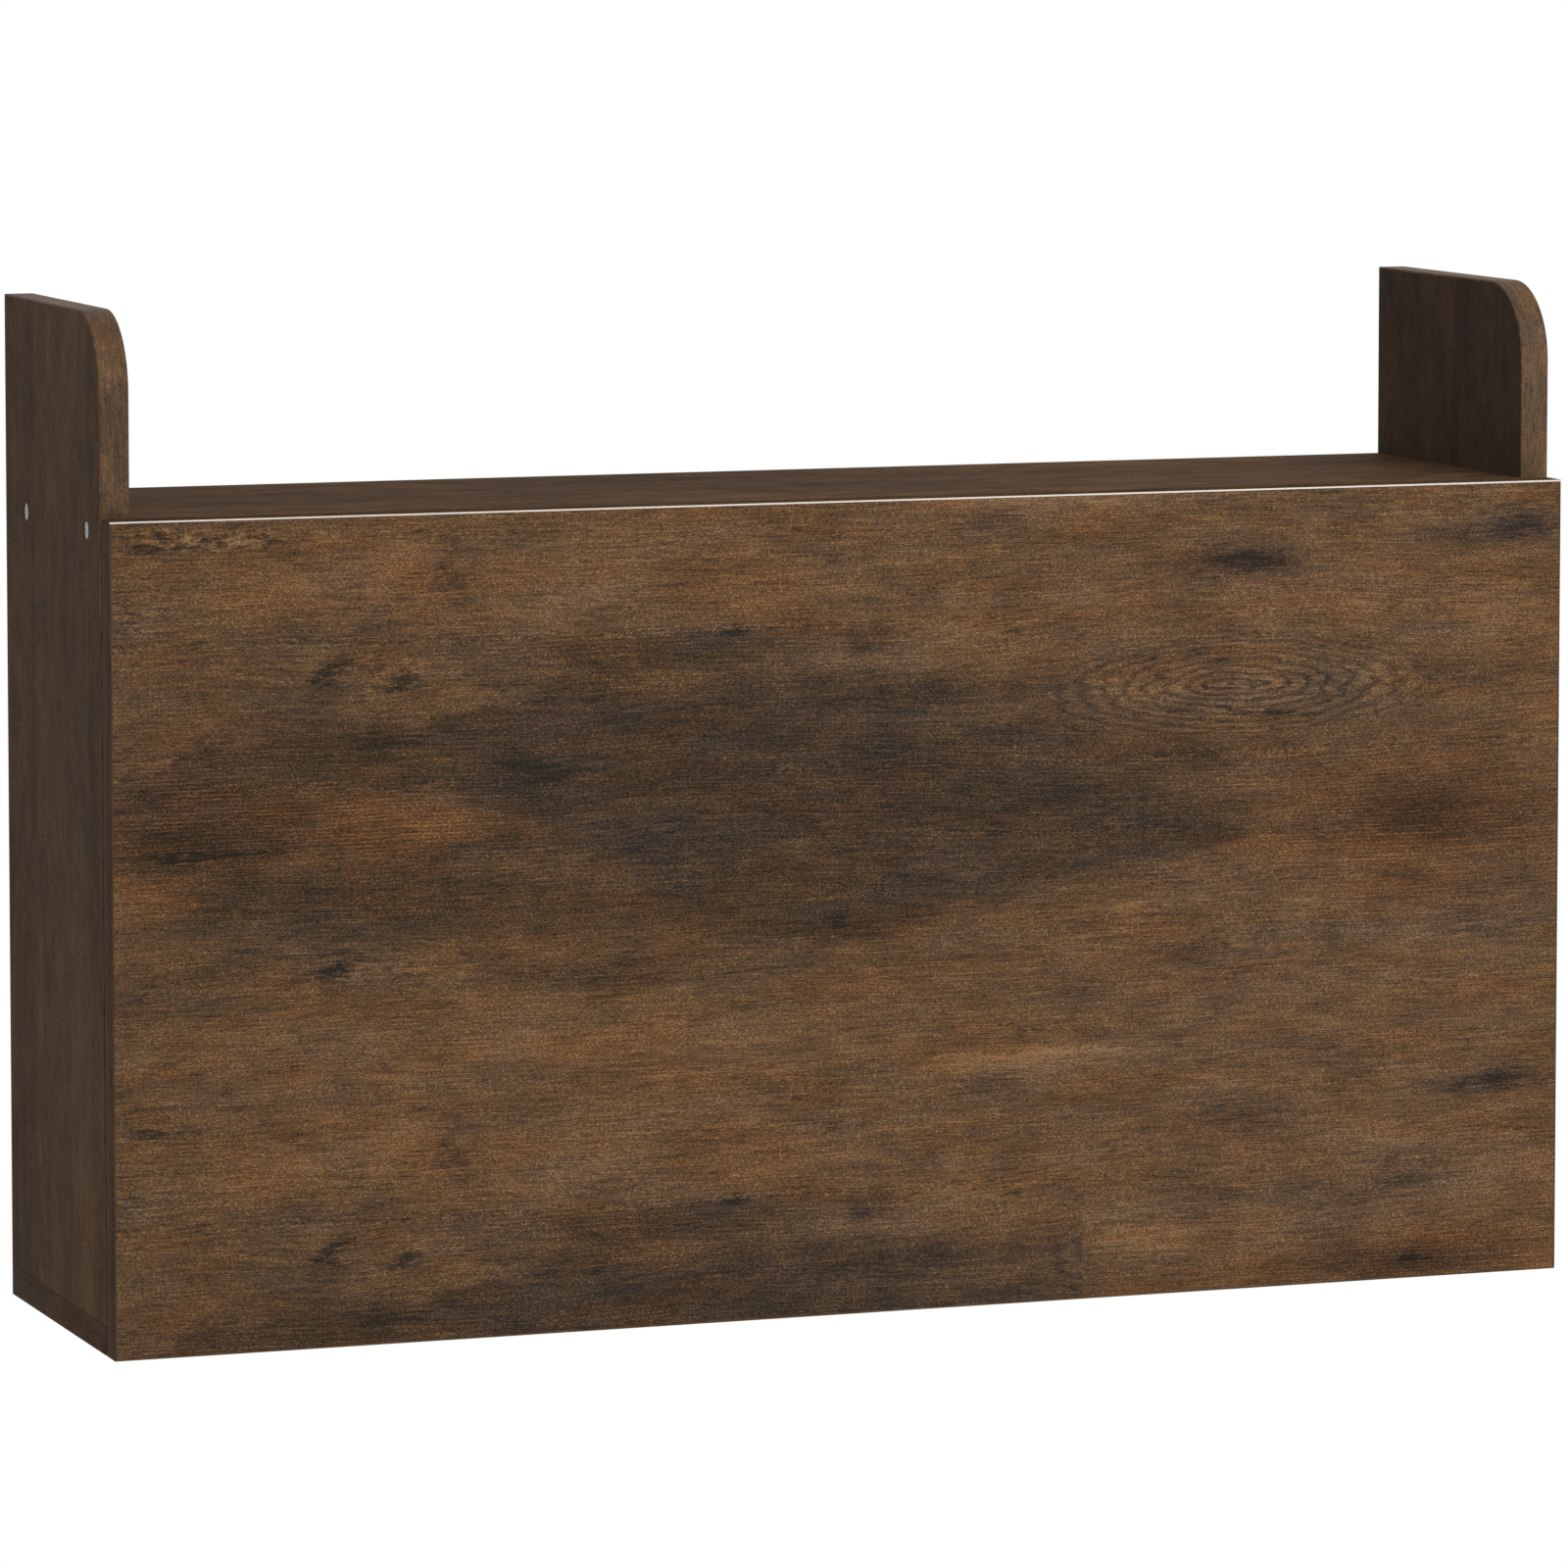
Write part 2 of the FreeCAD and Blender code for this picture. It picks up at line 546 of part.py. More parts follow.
def stay_bracket(side):
    """The angle bracket on the flap: a plate on the flap's face and an ear beside the bar."""
    half = BRACKET_HEIGHT / 2
    plate_face = FLAP_BACK + BRACKET_THICKNESS
    plate = slab((EAR_OUTER, EAR_OUTER - BRACKET_WIDTH), (FLAP_BACK, plate_face),
                 (PIVOT_Z - half, PIVOT_Z + half))
    ear_radius = STAY_BAR_WIDTH / 2
    ear = [slab((EAR_INNER, EAR_OUTER), (FLAP_BACK, PIVOT_Y), (PIVOT_Z - ear_radius, PIVOT_Z + ear_radius)),
           rod(ear_radius, STAY_BAR_THICKNESS, (EAR_INNER, PIVOT_Y, PIVOT_Z), X)]
    bracket = joined([plate] + ear)
    return one_side(bracket.cut(rod(RIVET_RADIUS + FIT, 2 * BRACKET_WIDTH,
                                    (EAR_OUTER - BRACKET_WIDTH, PIVOT_Y, PIVOT_Z), X)), side)


def stay_rivet(side):
    """The rivet through the bracket's ear and the bar."""
    outer_head = BAR_OUTER + SLIDING
    inner_head = EAR_INNER
    shank = rod(RIVET_RADIUS, outer_head - inner_head, (inner_head, PIVOT_Y, PIVOT_Z), X)
    rim = RIVET_HEAD * 0.8
    head = turned([(0, 0), (RIVET_HEAD_RADIUS, 0), (RIVET_HEAD_RADIUS * 0.8, rim), (0, RIVET_HEAD)])
    heads = [aimed(head, (outer_head, PIVOT_Y, PIVOT_Z), X), aimed(head, (inner_head, PIVOT_Y, PIVOT_Z), -X)]
    return one_side(joined([shank] + heads), side)


def bracket_screw_places():
    """Two screws through each bracket's plate into the flap."""
    x = EAR_INNER - (BRACKET_WIDTH - STAY_BAR_THICKNESS) / 2
    return [((side * x, FLAP_BACK + BRACKET_THICKNESS, PIVOT_Z + step * BRACKET_HEIGHT / 4), -Y)
            for side in (-1, 1) for step in (-1, 1)]


# ---------------------------------------------------------------- push latches


def latch_housing(side):
    """The latch's barrel and flange, screwed up under the top shelf."""
    x = LATCH_X
    rear = LATCH_MOUTH + LATCH_BARREL_LENGTH
    barrel = rod(LATCH_BARREL_RADIUS, LATCH_BARREL_LENGTH, (x, LATCH_MOUTH, LATCH_Z), Y)
    neck = slab((x - LATCH_BARREL_RADIUS, x + LATCH_BARREL_RADIUS), (LATCH_MOUTH, rear),
                (LATCH_Z, SHELF_UNDER - LATCH_FLANGE / 2))
    middle = (LATCH_MOUTH + rear) / 2
    flange = slab((x - LATCH_FLANGE_WIDTH / 2, x + LATCH_FLANGE_WIDTH / 2),
                  (middle - LATCH_FLANGE_LENGTH / 2, middle + LATCH_FLANGE_LENGTH / 2),
                  (SHELF_UNDER - LATCH_FLANGE, SHELF_UNDER))
    bore = rod(LATCH_BARREL_RADIUS - LATCH_WALL, LATCH_BARREL_LENGTH - 2 * LATCH_WALL,
               (x, LATCH_MOUTH, LATCH_Z), Y)
    return one_side(joined([barrel, neck, flange]).cut(bore), side)


def latch_plunger(side):
    """The sprung plunger that carries the magnet."""
    radius = LATCH_BARREL_RADIUS - LATCH_WALL - RUNNING
    plunger = rod(radius, PLUNGER_LENGTH, (LATCH_X, PLUNGER_FRONT, LATCH_Z), Y)
    seat = rod(MAGNET_RADIUS + RUNNING, MAGNET_LENGTH, (LATCH_X, PLUNGER_FRONT, LATCH_Z), Y)
    return one_side(plunger.cut(seat), side)


def latch_magnet(side):
    """The disc magnet in the plunger's nose."""
    return one_side(rod(MAGNET_RADIUS, MAGNET_LENGTH - FIT, (LATCH_X, PLUNGER_FRONT, LATCH_Z), Y), side)


def latch_spring(side):
    """The coil spring behind the plunger, shown relaxed, clear of the barrel's end by the travel."""
    start = PLUNGER_FRONT + PLUNGER_LENGTH + SPRING_WIRE
    barrel_end = LATCH_MOUTH + LATCH_BARREL_LENGTH - 2 * LATCH_WALL
    length = barrel_end - LATCH_TRAVEL - SLIDING - start - SPRING_WIRE
    radius = LATCH_BARREL_RADIUS - LATCH_WALL - SLIDING - 2 * SPRING_WIRE
    helix = Part.makeHelix(length / SPRING_TURNS, length, radius)
    section = Part.Wire(Part.makeCircle(SPRING_WIRE, Vector(radius, 0, 0), Y))
    spring = Part.Wire(helix.Edges).makePipeShell([section], True, True)
    return one_side(aimed(spring, (LATCH_X, start, LATCH_Z), Y), side)


def latch_screw_places():
    """Two screws through each latch's flange, up into the shelf."""
    middle = LATCH_MOUTH + LATCH_BARREL_LENGTH / 2
    x = LATCH_FLANGE_WIDTH / 2 - WOOD_SCREW_HEAD - 2 * FIT
    return [((side * (LATCH_X + step * x), middle + step * LATCH_FLANGE_LENGTH / 3,
              SHELF_UNDER - LATCH_FLANGE), Z) for side in (-1, 1) for step in (-1, 1)]


def catch_plates():
    """The steel plates on the flap that the magnets hold."""
    half_width, half_height = CATCH_PLATE_WIDTH / 2, CATCH_PLATE_HEIGHT / 2
    return mirrored([slab((LATCH_X - half_width, LATCH_X + half_width), (FLAP_BACK, FLAP_BACK + CATCH_PLATE),
                          (LATCH_Z - half_height, LATCH_Z + half_height))])


def catch_screw_places():
    """Two screws in each catch plate."""
    return [((side * LATCH_X + step * CATCH_PLATE_WIDTH / 3, FLAP_BACK + CATCH_PLATE, LATCH_Z), -Y)
            for side in (-1, 1) for step in (-1, 1)]


# ---------------------------------------------------------------- the whole desk


def build():
    """Every node of the desk, as a name and its list of solids."""
    cabinet_leaf_outer = FRONT - LEAF
    flap_leaf_outer = FLAP_BACK + LEAF
    screws = {
        "hinge_screws_carcass": wood_screws(
            [place for x in HINGE_CENTRES.values()
             for place in hinge_screw_places(x, cabinet_leaf_outer, Y)]),
        "hinge_screws_flap": wood_screws(
            [place for x in HINGE_CENTRES.values()
             for place in hinge_screw_places(x, flap_leaf_outer, -Y)]),
        "bracket_screws": wood_screws(bracket_screw_places()),
        "latch_screws": wood_screws(latch_screw_places()),
        "catch_screws": wood_screws(catch_screw_places()),
    }
    screws.update(FASTENERS)
    holes = [hole for _, group in screws.values() for hole in group]
    holes += wall_screw_holes() + [stud_hole(side) for side in SIDES]
    hollows = [hinge_hollow(x) for x in HINGE_CENTRES.values()]

    nodes = {
        "bottom_panel": [bottom_panel()],
        "bottom_edge_band": [bottom_edge_band()],
        "top_shelf": [top_shelf()],
        "top_shelf_edge_band": [front_band((-INNER, INNER), (SHELF_UNDER, SHELF_TOP), FRONT)],
        "back_panel": [back_panel()],
        "lower_rail": [hanging_rail(RAIL_CENTRES[0])],
        "upper_rail": [hanging_rail(RAIL_CENTRES[1])],
        "inner_shelf": [inner_shelf()],
        "inner_shelf_edge_band": [front_band((FIT - INNER, INNER - FIT), (INNER_SHELF_UNDER, INNER_SHELF_TOP),
                                             INNER_FRONT)],
        "divider_edge_bands": mirrored([front_band((DIVIDER_CENTRE - BOARD / 2, DIVIDER_CENTRE + BOARD / 2),
                                                   (INNER_SHELF_TOP, SHELF_UNDER), INNER_FRONT)]),
        "flap_panel": [flap_panel()],
        "catch_plates": catch_plates(),
        "bumpers": bumpers(),
        "hinge_pins": [hinge_pin(x) for x in HINGE_CENTRES.values()],
    }
    for side in SIDES:
        nodes[side + "_side"] = [side_panel(side)]
        nodes[side + "_side_edge_band"] = [side_edge_band(side)]
        nodes[side + "_divider"] = [divider(side)]
        nodes[side + "_stay_bar"] = [stay_bar(side)]
        nodes[side + "_stay_stud"] = [stay_stud(side)]
        nodes[side + "_stay_bracket"] = [stay_bracket(side)]
        nodes[side + "_stay_rivet"] = [stay_rivet(side)]
        nodes[side + "_latch_housing"] = [latch_housing(side)]
        nodes[side + "_latch_plunger"] = [latch_plunger(side)]
        nodes[side + "_latch_magnet"] = [latch_magnet(side)]
        nodes[side + "_latch_spring"] = [latch_spring(side)]
    for edge in ("top", "bottom", "left", "right"):
        nodes["flap_" + edge + "_edge_band"] = [flap_edge_band(edge)]
    for name, x in HINGE_CENTRES.items():
        nodes[name + "_hinge_carcass_leaf"] = [hinge_leaf(x, 0, FRONT, cabinet_leaf_outer)]
        nodes[name + "_hinge_flap_leaf"] = [hinge_leaf(x, 1, FLAP_BACK, flap_leaf_outer)]

    unbored = ("_pins", "_rivet", "_stud", "_bar", "_plunger", "_magnet", "_spring", "bumpers")
    for name, solids in nodes.items():
        if not name.endswith(unbored):
            nodes[name] = [bored(solid, holes) for solid in solids]
    for name in ("bottom_panel", "bottom_edge_band", "flap_panel", "flap_bottom_edge_band"):
        nodes[name] = [bored(solid, hollows) for solid in nodes[name]]
    nodes.update({name: solids for name, (solids, _) in screws.items()})
    return nodes


def main():
    """Write one STEP file for each node."""
    os.makedirs("parts", exist_ok=True)
    for name, solids in build().items():
        solids = [solid for shape in solids for solid in shape.Solids]
        shape = solids[0] if len(solids) == 1 else Part.makeCompound(solids)
        shape.exportStep("parts/" + name + ".step")
        print(name, len(solids), "solids", round(shape.Volume / 1000, 2), "cm3")


main()
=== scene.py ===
"""Fold-down wall desk: edge bands, fittings, finishes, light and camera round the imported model.

Metres, in the model's own frame: X across the desk, the wall at Y = 0, the front towards -Y and
Z up. Laid out as an add-on: property groups hold what a user would change, one operator makes
each group of pieces, and main() runs them in order.
"""
import json
import math
from functools import partialmethod

import bmesh
import bpy
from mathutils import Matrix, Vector

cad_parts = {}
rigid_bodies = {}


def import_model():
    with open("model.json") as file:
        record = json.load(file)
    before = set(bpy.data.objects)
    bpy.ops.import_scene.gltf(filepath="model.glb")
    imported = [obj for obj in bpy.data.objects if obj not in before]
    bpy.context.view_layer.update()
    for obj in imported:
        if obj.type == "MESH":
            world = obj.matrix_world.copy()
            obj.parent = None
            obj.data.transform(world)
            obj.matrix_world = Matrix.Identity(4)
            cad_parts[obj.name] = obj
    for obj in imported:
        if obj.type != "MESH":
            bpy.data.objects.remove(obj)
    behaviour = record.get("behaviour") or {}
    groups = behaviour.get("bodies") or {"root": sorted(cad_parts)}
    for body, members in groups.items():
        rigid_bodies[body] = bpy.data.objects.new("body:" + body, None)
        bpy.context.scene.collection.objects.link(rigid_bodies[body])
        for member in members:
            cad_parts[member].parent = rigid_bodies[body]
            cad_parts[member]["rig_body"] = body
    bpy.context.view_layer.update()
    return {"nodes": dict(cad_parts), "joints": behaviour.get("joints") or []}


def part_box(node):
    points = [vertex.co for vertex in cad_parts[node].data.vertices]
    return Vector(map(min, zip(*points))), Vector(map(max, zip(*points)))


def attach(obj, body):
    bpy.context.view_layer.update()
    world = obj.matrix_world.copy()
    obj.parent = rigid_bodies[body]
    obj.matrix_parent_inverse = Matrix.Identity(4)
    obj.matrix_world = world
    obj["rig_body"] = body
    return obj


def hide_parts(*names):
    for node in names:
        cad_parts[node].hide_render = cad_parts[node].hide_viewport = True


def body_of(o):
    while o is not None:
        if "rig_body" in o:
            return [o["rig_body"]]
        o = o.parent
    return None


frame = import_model()

bl_info = {
    "name": "Fold-Down Wall Desk",
    "version": (1, 0, 0),
    "blender": (4, 5, 0),
    "location": "View3D > Sidebar > Wall Desk",
    "description": "Bands, fittings, wood print, light and camera for a fold-down wall desk",
    "category": "Add Mesh",
}

SIDES = {"left": -1, "right": 1}
HINGES = ("left", "centre", "right")

# ---------------------------------------------------------------- places taken from the frame


def low(node):
    """A node's lowest corner."""
    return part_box(node)[0]


def high(node):
    """A node's highest corner."""
    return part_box(node)[1]


AXIS = Vector(next(joint["pos_m"] for joint in frame["joints"] if joint["name"] == "flap_hinge"))
OUTER = high("bottom_edge_band").x
INNER = low("right_side").x
FRONT = low("bottom_edge_band").y
FLAP_BACK = high("flap_top_edge_band").y
FLAP_FRONT = low("flap_top_edge_band").y
UNDERSIDE = low("bottom_panel").z
FLOOR_TOP = high("bottom_panel").z
SHELF_TOP = high("top_shelf").z
SIDE_TOP = high("left_side_edge_band").z
BAND = high("flap_top_edge_band").z - low("flap_top_edge_band").z


def srgb(red, green, blue):
    """A colour given as 0-255 screen values, as Blender's linear RGBA."""
    channels = [value / 255 for value in (red, green, blue)]
    return tuple(c / 12.92 if c <= 0.04045 else ((c + 0.055) / 1.055) ** 2.4 for c in channels) + (1.0,)


# ---------------------------------------------------------------- settings


def colour_setting(name, description, *channels):
    """A colour that a user would change, with its default as 0-255 screen values."""
    return bpy.props.FloatVectorProperty(
        name=name, description=description, default=srgb(*channels), subtype="COLOR", size=4)


class WallDeskSizes(bpy.types.PropertyGroup):
    """Sizes of the fine shapes and of the print."""

    arris: bpy.props.FloatProperty(
        name="Arris", description="Rounding of the bands' long corners",
        default=0.0004, min=0.0001, unit="LENGTH")
    corner_radius: bpy.props.FloatProperty(
        name="Side corner", description="Radius of each side panel's front top corner",
        default=0.040, min=0.005, unit="LENGTH")
    print_repeat: bpy.props.FloatProperty(
        name="Print repeat", description="Height after which the flap's wood print comes again",
        default=0.2888, min=0.05, unit="LENGTH")
    growth_lines: bpy.props.IntProperty(
        name="Growth lines", description="Growth lines across one repeat of the print", default=136, min=10)


class WallDeskColours(bpy.types.PropertyGroup):
    """Colours of the print and of the fittings."""

    knot: colour_setting("Knots", "Darkest tone of the print", 43, 39, 31)
    shade: colour_setting("Clouds", "Grey-brown tone of the dark clouds", 62, 50, 40)
    brown: colour_setting("Brown", "Middle tone of the print", 91, 69, 49)
    warm: colour_setting("Warm brown", "Lighter tone of the print", 113, 83, 55)
    ochre: colour_setting("Ochre", "Lightest tone of the print", 148, 114, 80)
    # a painted highlight: the pale colour painted on the front face of the flap's top band
    band_core: colour_setting("Band core", "Pale core of the flap's band", 232, 224, 218)
    chipboard: colour_setting("Chipboard", "Raw edges against the wall", 176, 146, 108)
    hardboard: colour_setting("Hardboard", "Rear of the back panel", 122, 88, 58)
    zinc: colour_setting("Zinc", "Plated screws", 236, 237, 239)
    steel: colour_setting("Steel", "Nickel-plated hinges and stays", 188, 186, 180)
    magnet: colour_setting("Magnet", "Magnets of the latches", 122, 122, 126)
    wire: colour_setting("Spring wire", "Bare springs of the latches", 120, 118, 114)
    plastic: colour_setting("Latch plastic", "Housings and plungers", 164, 163, 160)
    bumper: colour_setting("Bumpers", "Clear pads behind the flap", 225, 228, 228)
    beech: colour_setting("Beech", "Dowels", 202, 164, 116)
    floor: colour_setting("Floor", "The studio floor", 240, 240, 239)


class WallDeskStage(bpy.types.PropertyGroup):
    """Light, floor and camera."""

    worktop_height: bpy.props.FloatProperty(
        name="Worktop height", description="Open flap above the floor",
        default=0.75, min=0.0, unit="LENGTH")
    ambient: bpy.props.FloatProperty(
        name="Ambient", description="Strength of the light from all round", default=0.39, min=0.0)
    key_power: bpy.props.FloatProperty(
        name="Key lamp", description="Power of the high softbox at the front right",
        default=30.0, min=0.0, unit="POWER")
    front_power: bpy.props.FloatProperty(
        name="Front lamp", description="Power of the low softbox in front",
        default=21.0, min=0.0, unit="POWER")
    camera_place: bpy.props.FloatVectorProperty(
        name="Camera place", description="Where the camera stands",
        subtype="XYZ", unit="LENGTH", default=(-1.43754, -4.06695, 0.54332))
    camera_yaw: bpy.props.FloatProperty(
        name="Camera yaw", description="Turn to the right of straight ahead",
        default=0.34685, subtype="ANGLE")
    camera_pitch: bpy.props.FloatProperty(
        name="Camera pitch", description="Tilt downwards", default=0.08716, subtype="ANGLE")
    lens: bpy.props.FloatProperty(
        name="Lens", description="Focal length in millimetres", default=188.515, min=10.0)
    shift: bpy.props.FloatProperty(
        name="Vertical shift", description="Lens shift that keeps uprights near upright", default=-0.15)


def sizes():
    """The size settings."""
    return bpy.context.scene.wall_desk_sizes


def colours():
    """The colour settings."""
    return bpy.context.scene.wall_desk_colours


def studio():
    """The stage settings."""
    return bpy.context.scene.wall_desk_stage


# ---------------------------------------------------------------- mesh work

ONE_POINT = 1e-6  # corners nearer than this are one
ON_PLACE = 1e-5  # how near counts as on a plane or a curve
ONE_FACE = math.radians(1)  # faces that meet at less are one flat face
SHADED_AS_ONE = math.radians(35)  # faces that meet at less shade as one
SHARP = math.radians(55)  # corners sharper than this are broken


def pick(piece):
    """Select one piece alone and make it active."""
    bpy.ops.object.select_all(action="DESELECT")
    piece.select_set(True)
    bpy.context.view_layer.objects.active = piece


def settled(piece, name):
    """Name a piece and bring its object to the origin, with its place in its mesh."""
    pick(piece)
    bpy.ops.object.transform_apply(location=True, rotation=True, scale=True)
    piece.name = name
    piece.data.name = name
    return piece


def block(name, corner_a, corner_b):
    """A rectangular piece between two corners."""
    a, b = Vector(corner_a), Vector(corner_b)
    size = [abs(b[i] - a[i]) for i in range(3)]
    bpy.ops.object.select_all(action="DESELECT")
    bpy.ops.mesh.primitive_cube_add(size=1, location=(a + b) / 2, scale=size)
    return settled(bpy.context.active_object, name)


def on_plane(point, axis, place):
    """Whether a point lies on a plane across an axis."""
    return abs(point[axis] - place) < 2 * ON_PLACE


def edit(piece, mode, chosen):
    """Enter edit mode with the chosen faces or edges selected."""
    pick(piece)
    bpy.ops.object.mode_set(mode="EDIT")
    bpy.ops.mesh.select_mode(type=mode)
    bpy.ops.mesh.select_all(action="DESELECT")
    bpy.ops.object.mode_set(mode="OBJECT")
    items = piece.data.polygons if mode == "FACE" else piece.data.edges
    for item in items:
        item.select = chosen(item)
    bpy.ops.object.mode_set(mode="EDIT")


def leave():
    """Merge doubles, turn the faces outwards and leave edit mode."""
    bpy.ops.mesh.select_all(action="SELECT")
    bpy.ops.mesh.remove_doubles(threshold=ONE_POINT)
    bpy.ops.mesh.normals_make_consistent(inside=False)
    bpy.ops.object.mode_set(mode="OBJECT")


def bevel(radius, segments):
    """Round the selected edges."""
    bpy.ops.mesh.bevel(offset=radius, offset_type="OFFSET", segments=segments, profile=0.5, affect="EDGES",
                       clamp_overlap=False)


def round_arrises(piece, sharp):
    """Round the chosen long corners of a band."""
    edit(piece, "EDGE", sharp)
    bevel(sizes().arris, segments=3)
    leave()
    bpy.ops.object.shade_smooth_by_angle(angle=SHADED_AS_ONE)


def between_planes(piece, planes):
    """A test for the edges where two of the given (axis, place) planes meet."""
    points = piece.data.vertices

    def outside(edge):
        a, b = (points[i].co for i in edge.vertices)
        return sum(on_plane(a, *plane) and on_plane(b, *plane) for plane in planes) > 1

    return outside


def cut_out(piece, cutters):
    """Take cutter pieces out of a piece, and throw the cutters away."""
    for cutter in cutters:
        pick(piece)
        modifier = piece.modifiers.new("cut", "BOOLEAN")
        modifier.operation = "DIFFERENCE"
        modifier.solver = "EXACT"
        modifier.object = cutter
        bpy.ops.object.modifier_apply(modifier="cut")
        bpy.data.objects.remove(cutter)


def as_one(name, pieces):
    """Several pieces joined into one."""
    pick(pieces[0])
    for piece in pieces[1:]:
        piece.select_set(True)
    bpy.ops.object.join()
    return settled(pieces[0], name)


def fitted(piece, body, node, look):
    """Fix a finished piece to its body, in the place of a node."""
    piece.data.materials.clear()
    piece.data.materials.append(finish(look))
    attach(piece, body)
    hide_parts(node)


def soften(node, look, radius, shortest=0.002):
    """Put a copy of a fitting in its node's place, its sharp edges broken but for the short ones."""
    source = frame["nodes"][node]
    piece = bpy.data.objects.new(node + "_fitting", source.data.copy())
    bpy.context.scene.collection.objects.link(piece)
    edit(piece, "FACE", lambda face: True)
    bpy.ops.mesh.remove_doubles(threshold=ONE_POINT)
    bpy.ops.mesh.dissolve_limited(angle_limit=ONE_FACE)
    bpy.ops.mesh.select_mode(type="EDGE")
    bpy.ops.mesh.select_all(action="DESELECT")
    shape = bmesh.from_edit_mesh(piece.data)
    for edge in shape.edges:
        if edge.calc_length() > shortest and edge.calc_face_angle_signed(0.0) > SHARP:
            edge.select_set(True)
    bevel(radius, segments=2)
    bpy.ops.object.mode_set(mode="OBJECT")
    bpy.ops.object.shade_smooth_by_angle(angle=SHADED_AS_ONE)
    fitted(piece, body_of(source)[0], node, look)


def dress(look, *nodes):
    """Give nodes of the model a finish."""
    for name in nodes:
        node = frame["nodes"][name]
        if not node.material_slots:
            node.data.materials.append(None)
        for place in node.material_slots:
            place.material = finish(look)


def hinge_hollows():
    """Cutters for the hollows that let the hinges' knuckles into the boards' lower edges."""
    cutters = []
    room = 0.0006  # clear space round the leaves and knuckles
    for hinge in HINGES:
        a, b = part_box(hinge + "_hinge_flap_leaf")
        reach = AXIS.z - a.z + room
        cutters.append(block("hollow", (a.x - room, AXIS.y - reach, AXIS.z - reach),
                             (b.x + room, AXIS.y + reach, AXIS.z + reach)))
    return cutters


# ---------------------------------------------------------------- node work


class Bench:
    """Adds nodes to one tree and wires them."""

    def __init__(self, tree):
        self.tree = tree

    def add(self, kind, feeds=None, **settings):
        """A node with its settings made and its inputs fed."""
        node = self.tree.nodes.new("ShaderNode" + kind)
        for key, value in settings.items():
            setattr(node, key, value)
        for key, value in (feeds or {}).items():
            self.feed(node.inputs[key], value)
        return node

    def feed(self, socket, value):
        """Wire an output to a socket, or set its value."""
        if isinstance(value, bpy.types.NodeSocket):
            self.tree.links.new(value, socket)
        else:
            socket.default_value = value

    def math(self, operation, *values):
        """One sum."""
        return self.add("Math", dict(enumerate(values)), operation=operation).outputs[0]

    plus = partialmethod(math, "ADD")
    minus = partialmethod(math, "SUBTRACT")
    times = partialmethod(math, "MULTIPLY")
    scaled = partialmethod(math, "MULTIPLY_ADD")  # of a value, its factor and a start

    def vector(self, operation, *values):
        """One vector sum."""
        return self.add("VectorMath", dict(enumerate(values)), operation=operation).outputs[0]

    def split(self, vector):
        """The three parts of a vector."""
        return self.add("SeparateXYZ", {0: vector}).outputs[:]

    def combine(self, x, y, z):
        """A vector of three parts."""
        return self.add("CombineXYZ", {0: x, 1: y, 2: z}).outputs[0]

    def noise(self, vector, cycles, seed, detail, roughness=0.5):
        """Soft noise about 0.5; cycles to the metre are one number, or one for each axis."""
        stretch = cycles if isinstance(cycles, tuple) else (cycles,) * 3
        spot = self.vector("MULTIPLY_ADD", vector, stretch, (seed, seed * 1.7, seed * 0.6))
        feeds = {"Vector": spot, "Scale": 1.0, "Detail": detail, "Roughness": roughness}
        return self.add("TexNoise", feeds).outputs[0]

    def between(self, value, low_end, high_end, start=0.0, end=1.0, smooth=True):
        """A value taken from one range to another, held at its ends."""
        kind = "SMOOTHSTEP" if smooth else "LINEAR"
        return self.add("MapRange", {0: value, 1: low_end, 2: high_end, 3: start, 4: end},
                        interpolation_type=kind).outputs[0]

    def mix(self, factor, a, b, blend="MIX"):
        """Two colours mixed."""
        return self.add("Mix", {0: factor, 6: a, 7: b}, data_type="RGBA", blend_type=blend).outputs[2]

    def blend(self, factor, a, b):
        """Two values mixed."""
        return self.add("Mix", {0: factor, 2: a, 3: b}, data_type="FLOAT").outputs[0]

    def ramp(self, factor, stops):
        """A colour scale of (place, colour) stops."""
        node = self.add("ValToRGB", {0: factor})
        scale = node.color_ramp.elements
        while len(scale) < len(stops):
            scale.new(0.5)
        for element, (place, colour) in zip(scale, stops):
            element.position = place
            element.color = colour
        return node.outputs[0]

    def effect(self, name, **feeds):
        """An effect by name, placed and fed: its outputs."""
        return self.add("Group", feeds, node_tree=effect(name)).outputs

    def object_place(self):
        """The point on the piece, in the model's frame."""
        return self.add("TexCoord").outputs["Object"]


def effect(name):
    """A node group by name, made the first time it is asked for; it reads a place and its levels."""
    if name in bpy.data.node_groups:
        return bpy.data.node_groups[name]
    make, levels = EFFECTS[name]
    tree = bpy.data.node_groups.new(name, "ShaderNodeTree")

    def add_sockets(way, labels):
        kinds = {"Vector": "Vector", "Color": "Color", "Base": "Color"}
        return [tree.interface.new_socket(name=label, in_out=way,
                                          socket_type="NodeSocket" + kinds.get(label, "Float"))
                for label in labels]

    for socket, level in zip(add_sockets("INPUT", ("Vector", *levels))[1:], levels.values()):
        socket.default_value = level
    bench = Bench(tree)
    results = make(bench, tree.nodes.new("NodeGroupInput").outputs)
    add_sockets("OUTPUT", results)
    end = tree.nodes.new("NodeGroupOutput").inputs
    for label, value in results.items():
        bench.feed(end[label], value)
    return tree


def finish(name):
    """A finish by name, made the first time it is asked for."""
    if name not in bpy.data.materials:
        make, settings = FINISHES[name]
        make(name, **settings)
    return bpy.data.materials[name]


def darker(colour, share):
    """A colour at a share of its brightness."""
    return tuple(value * share for value in colour[:3]) + (1.0,)


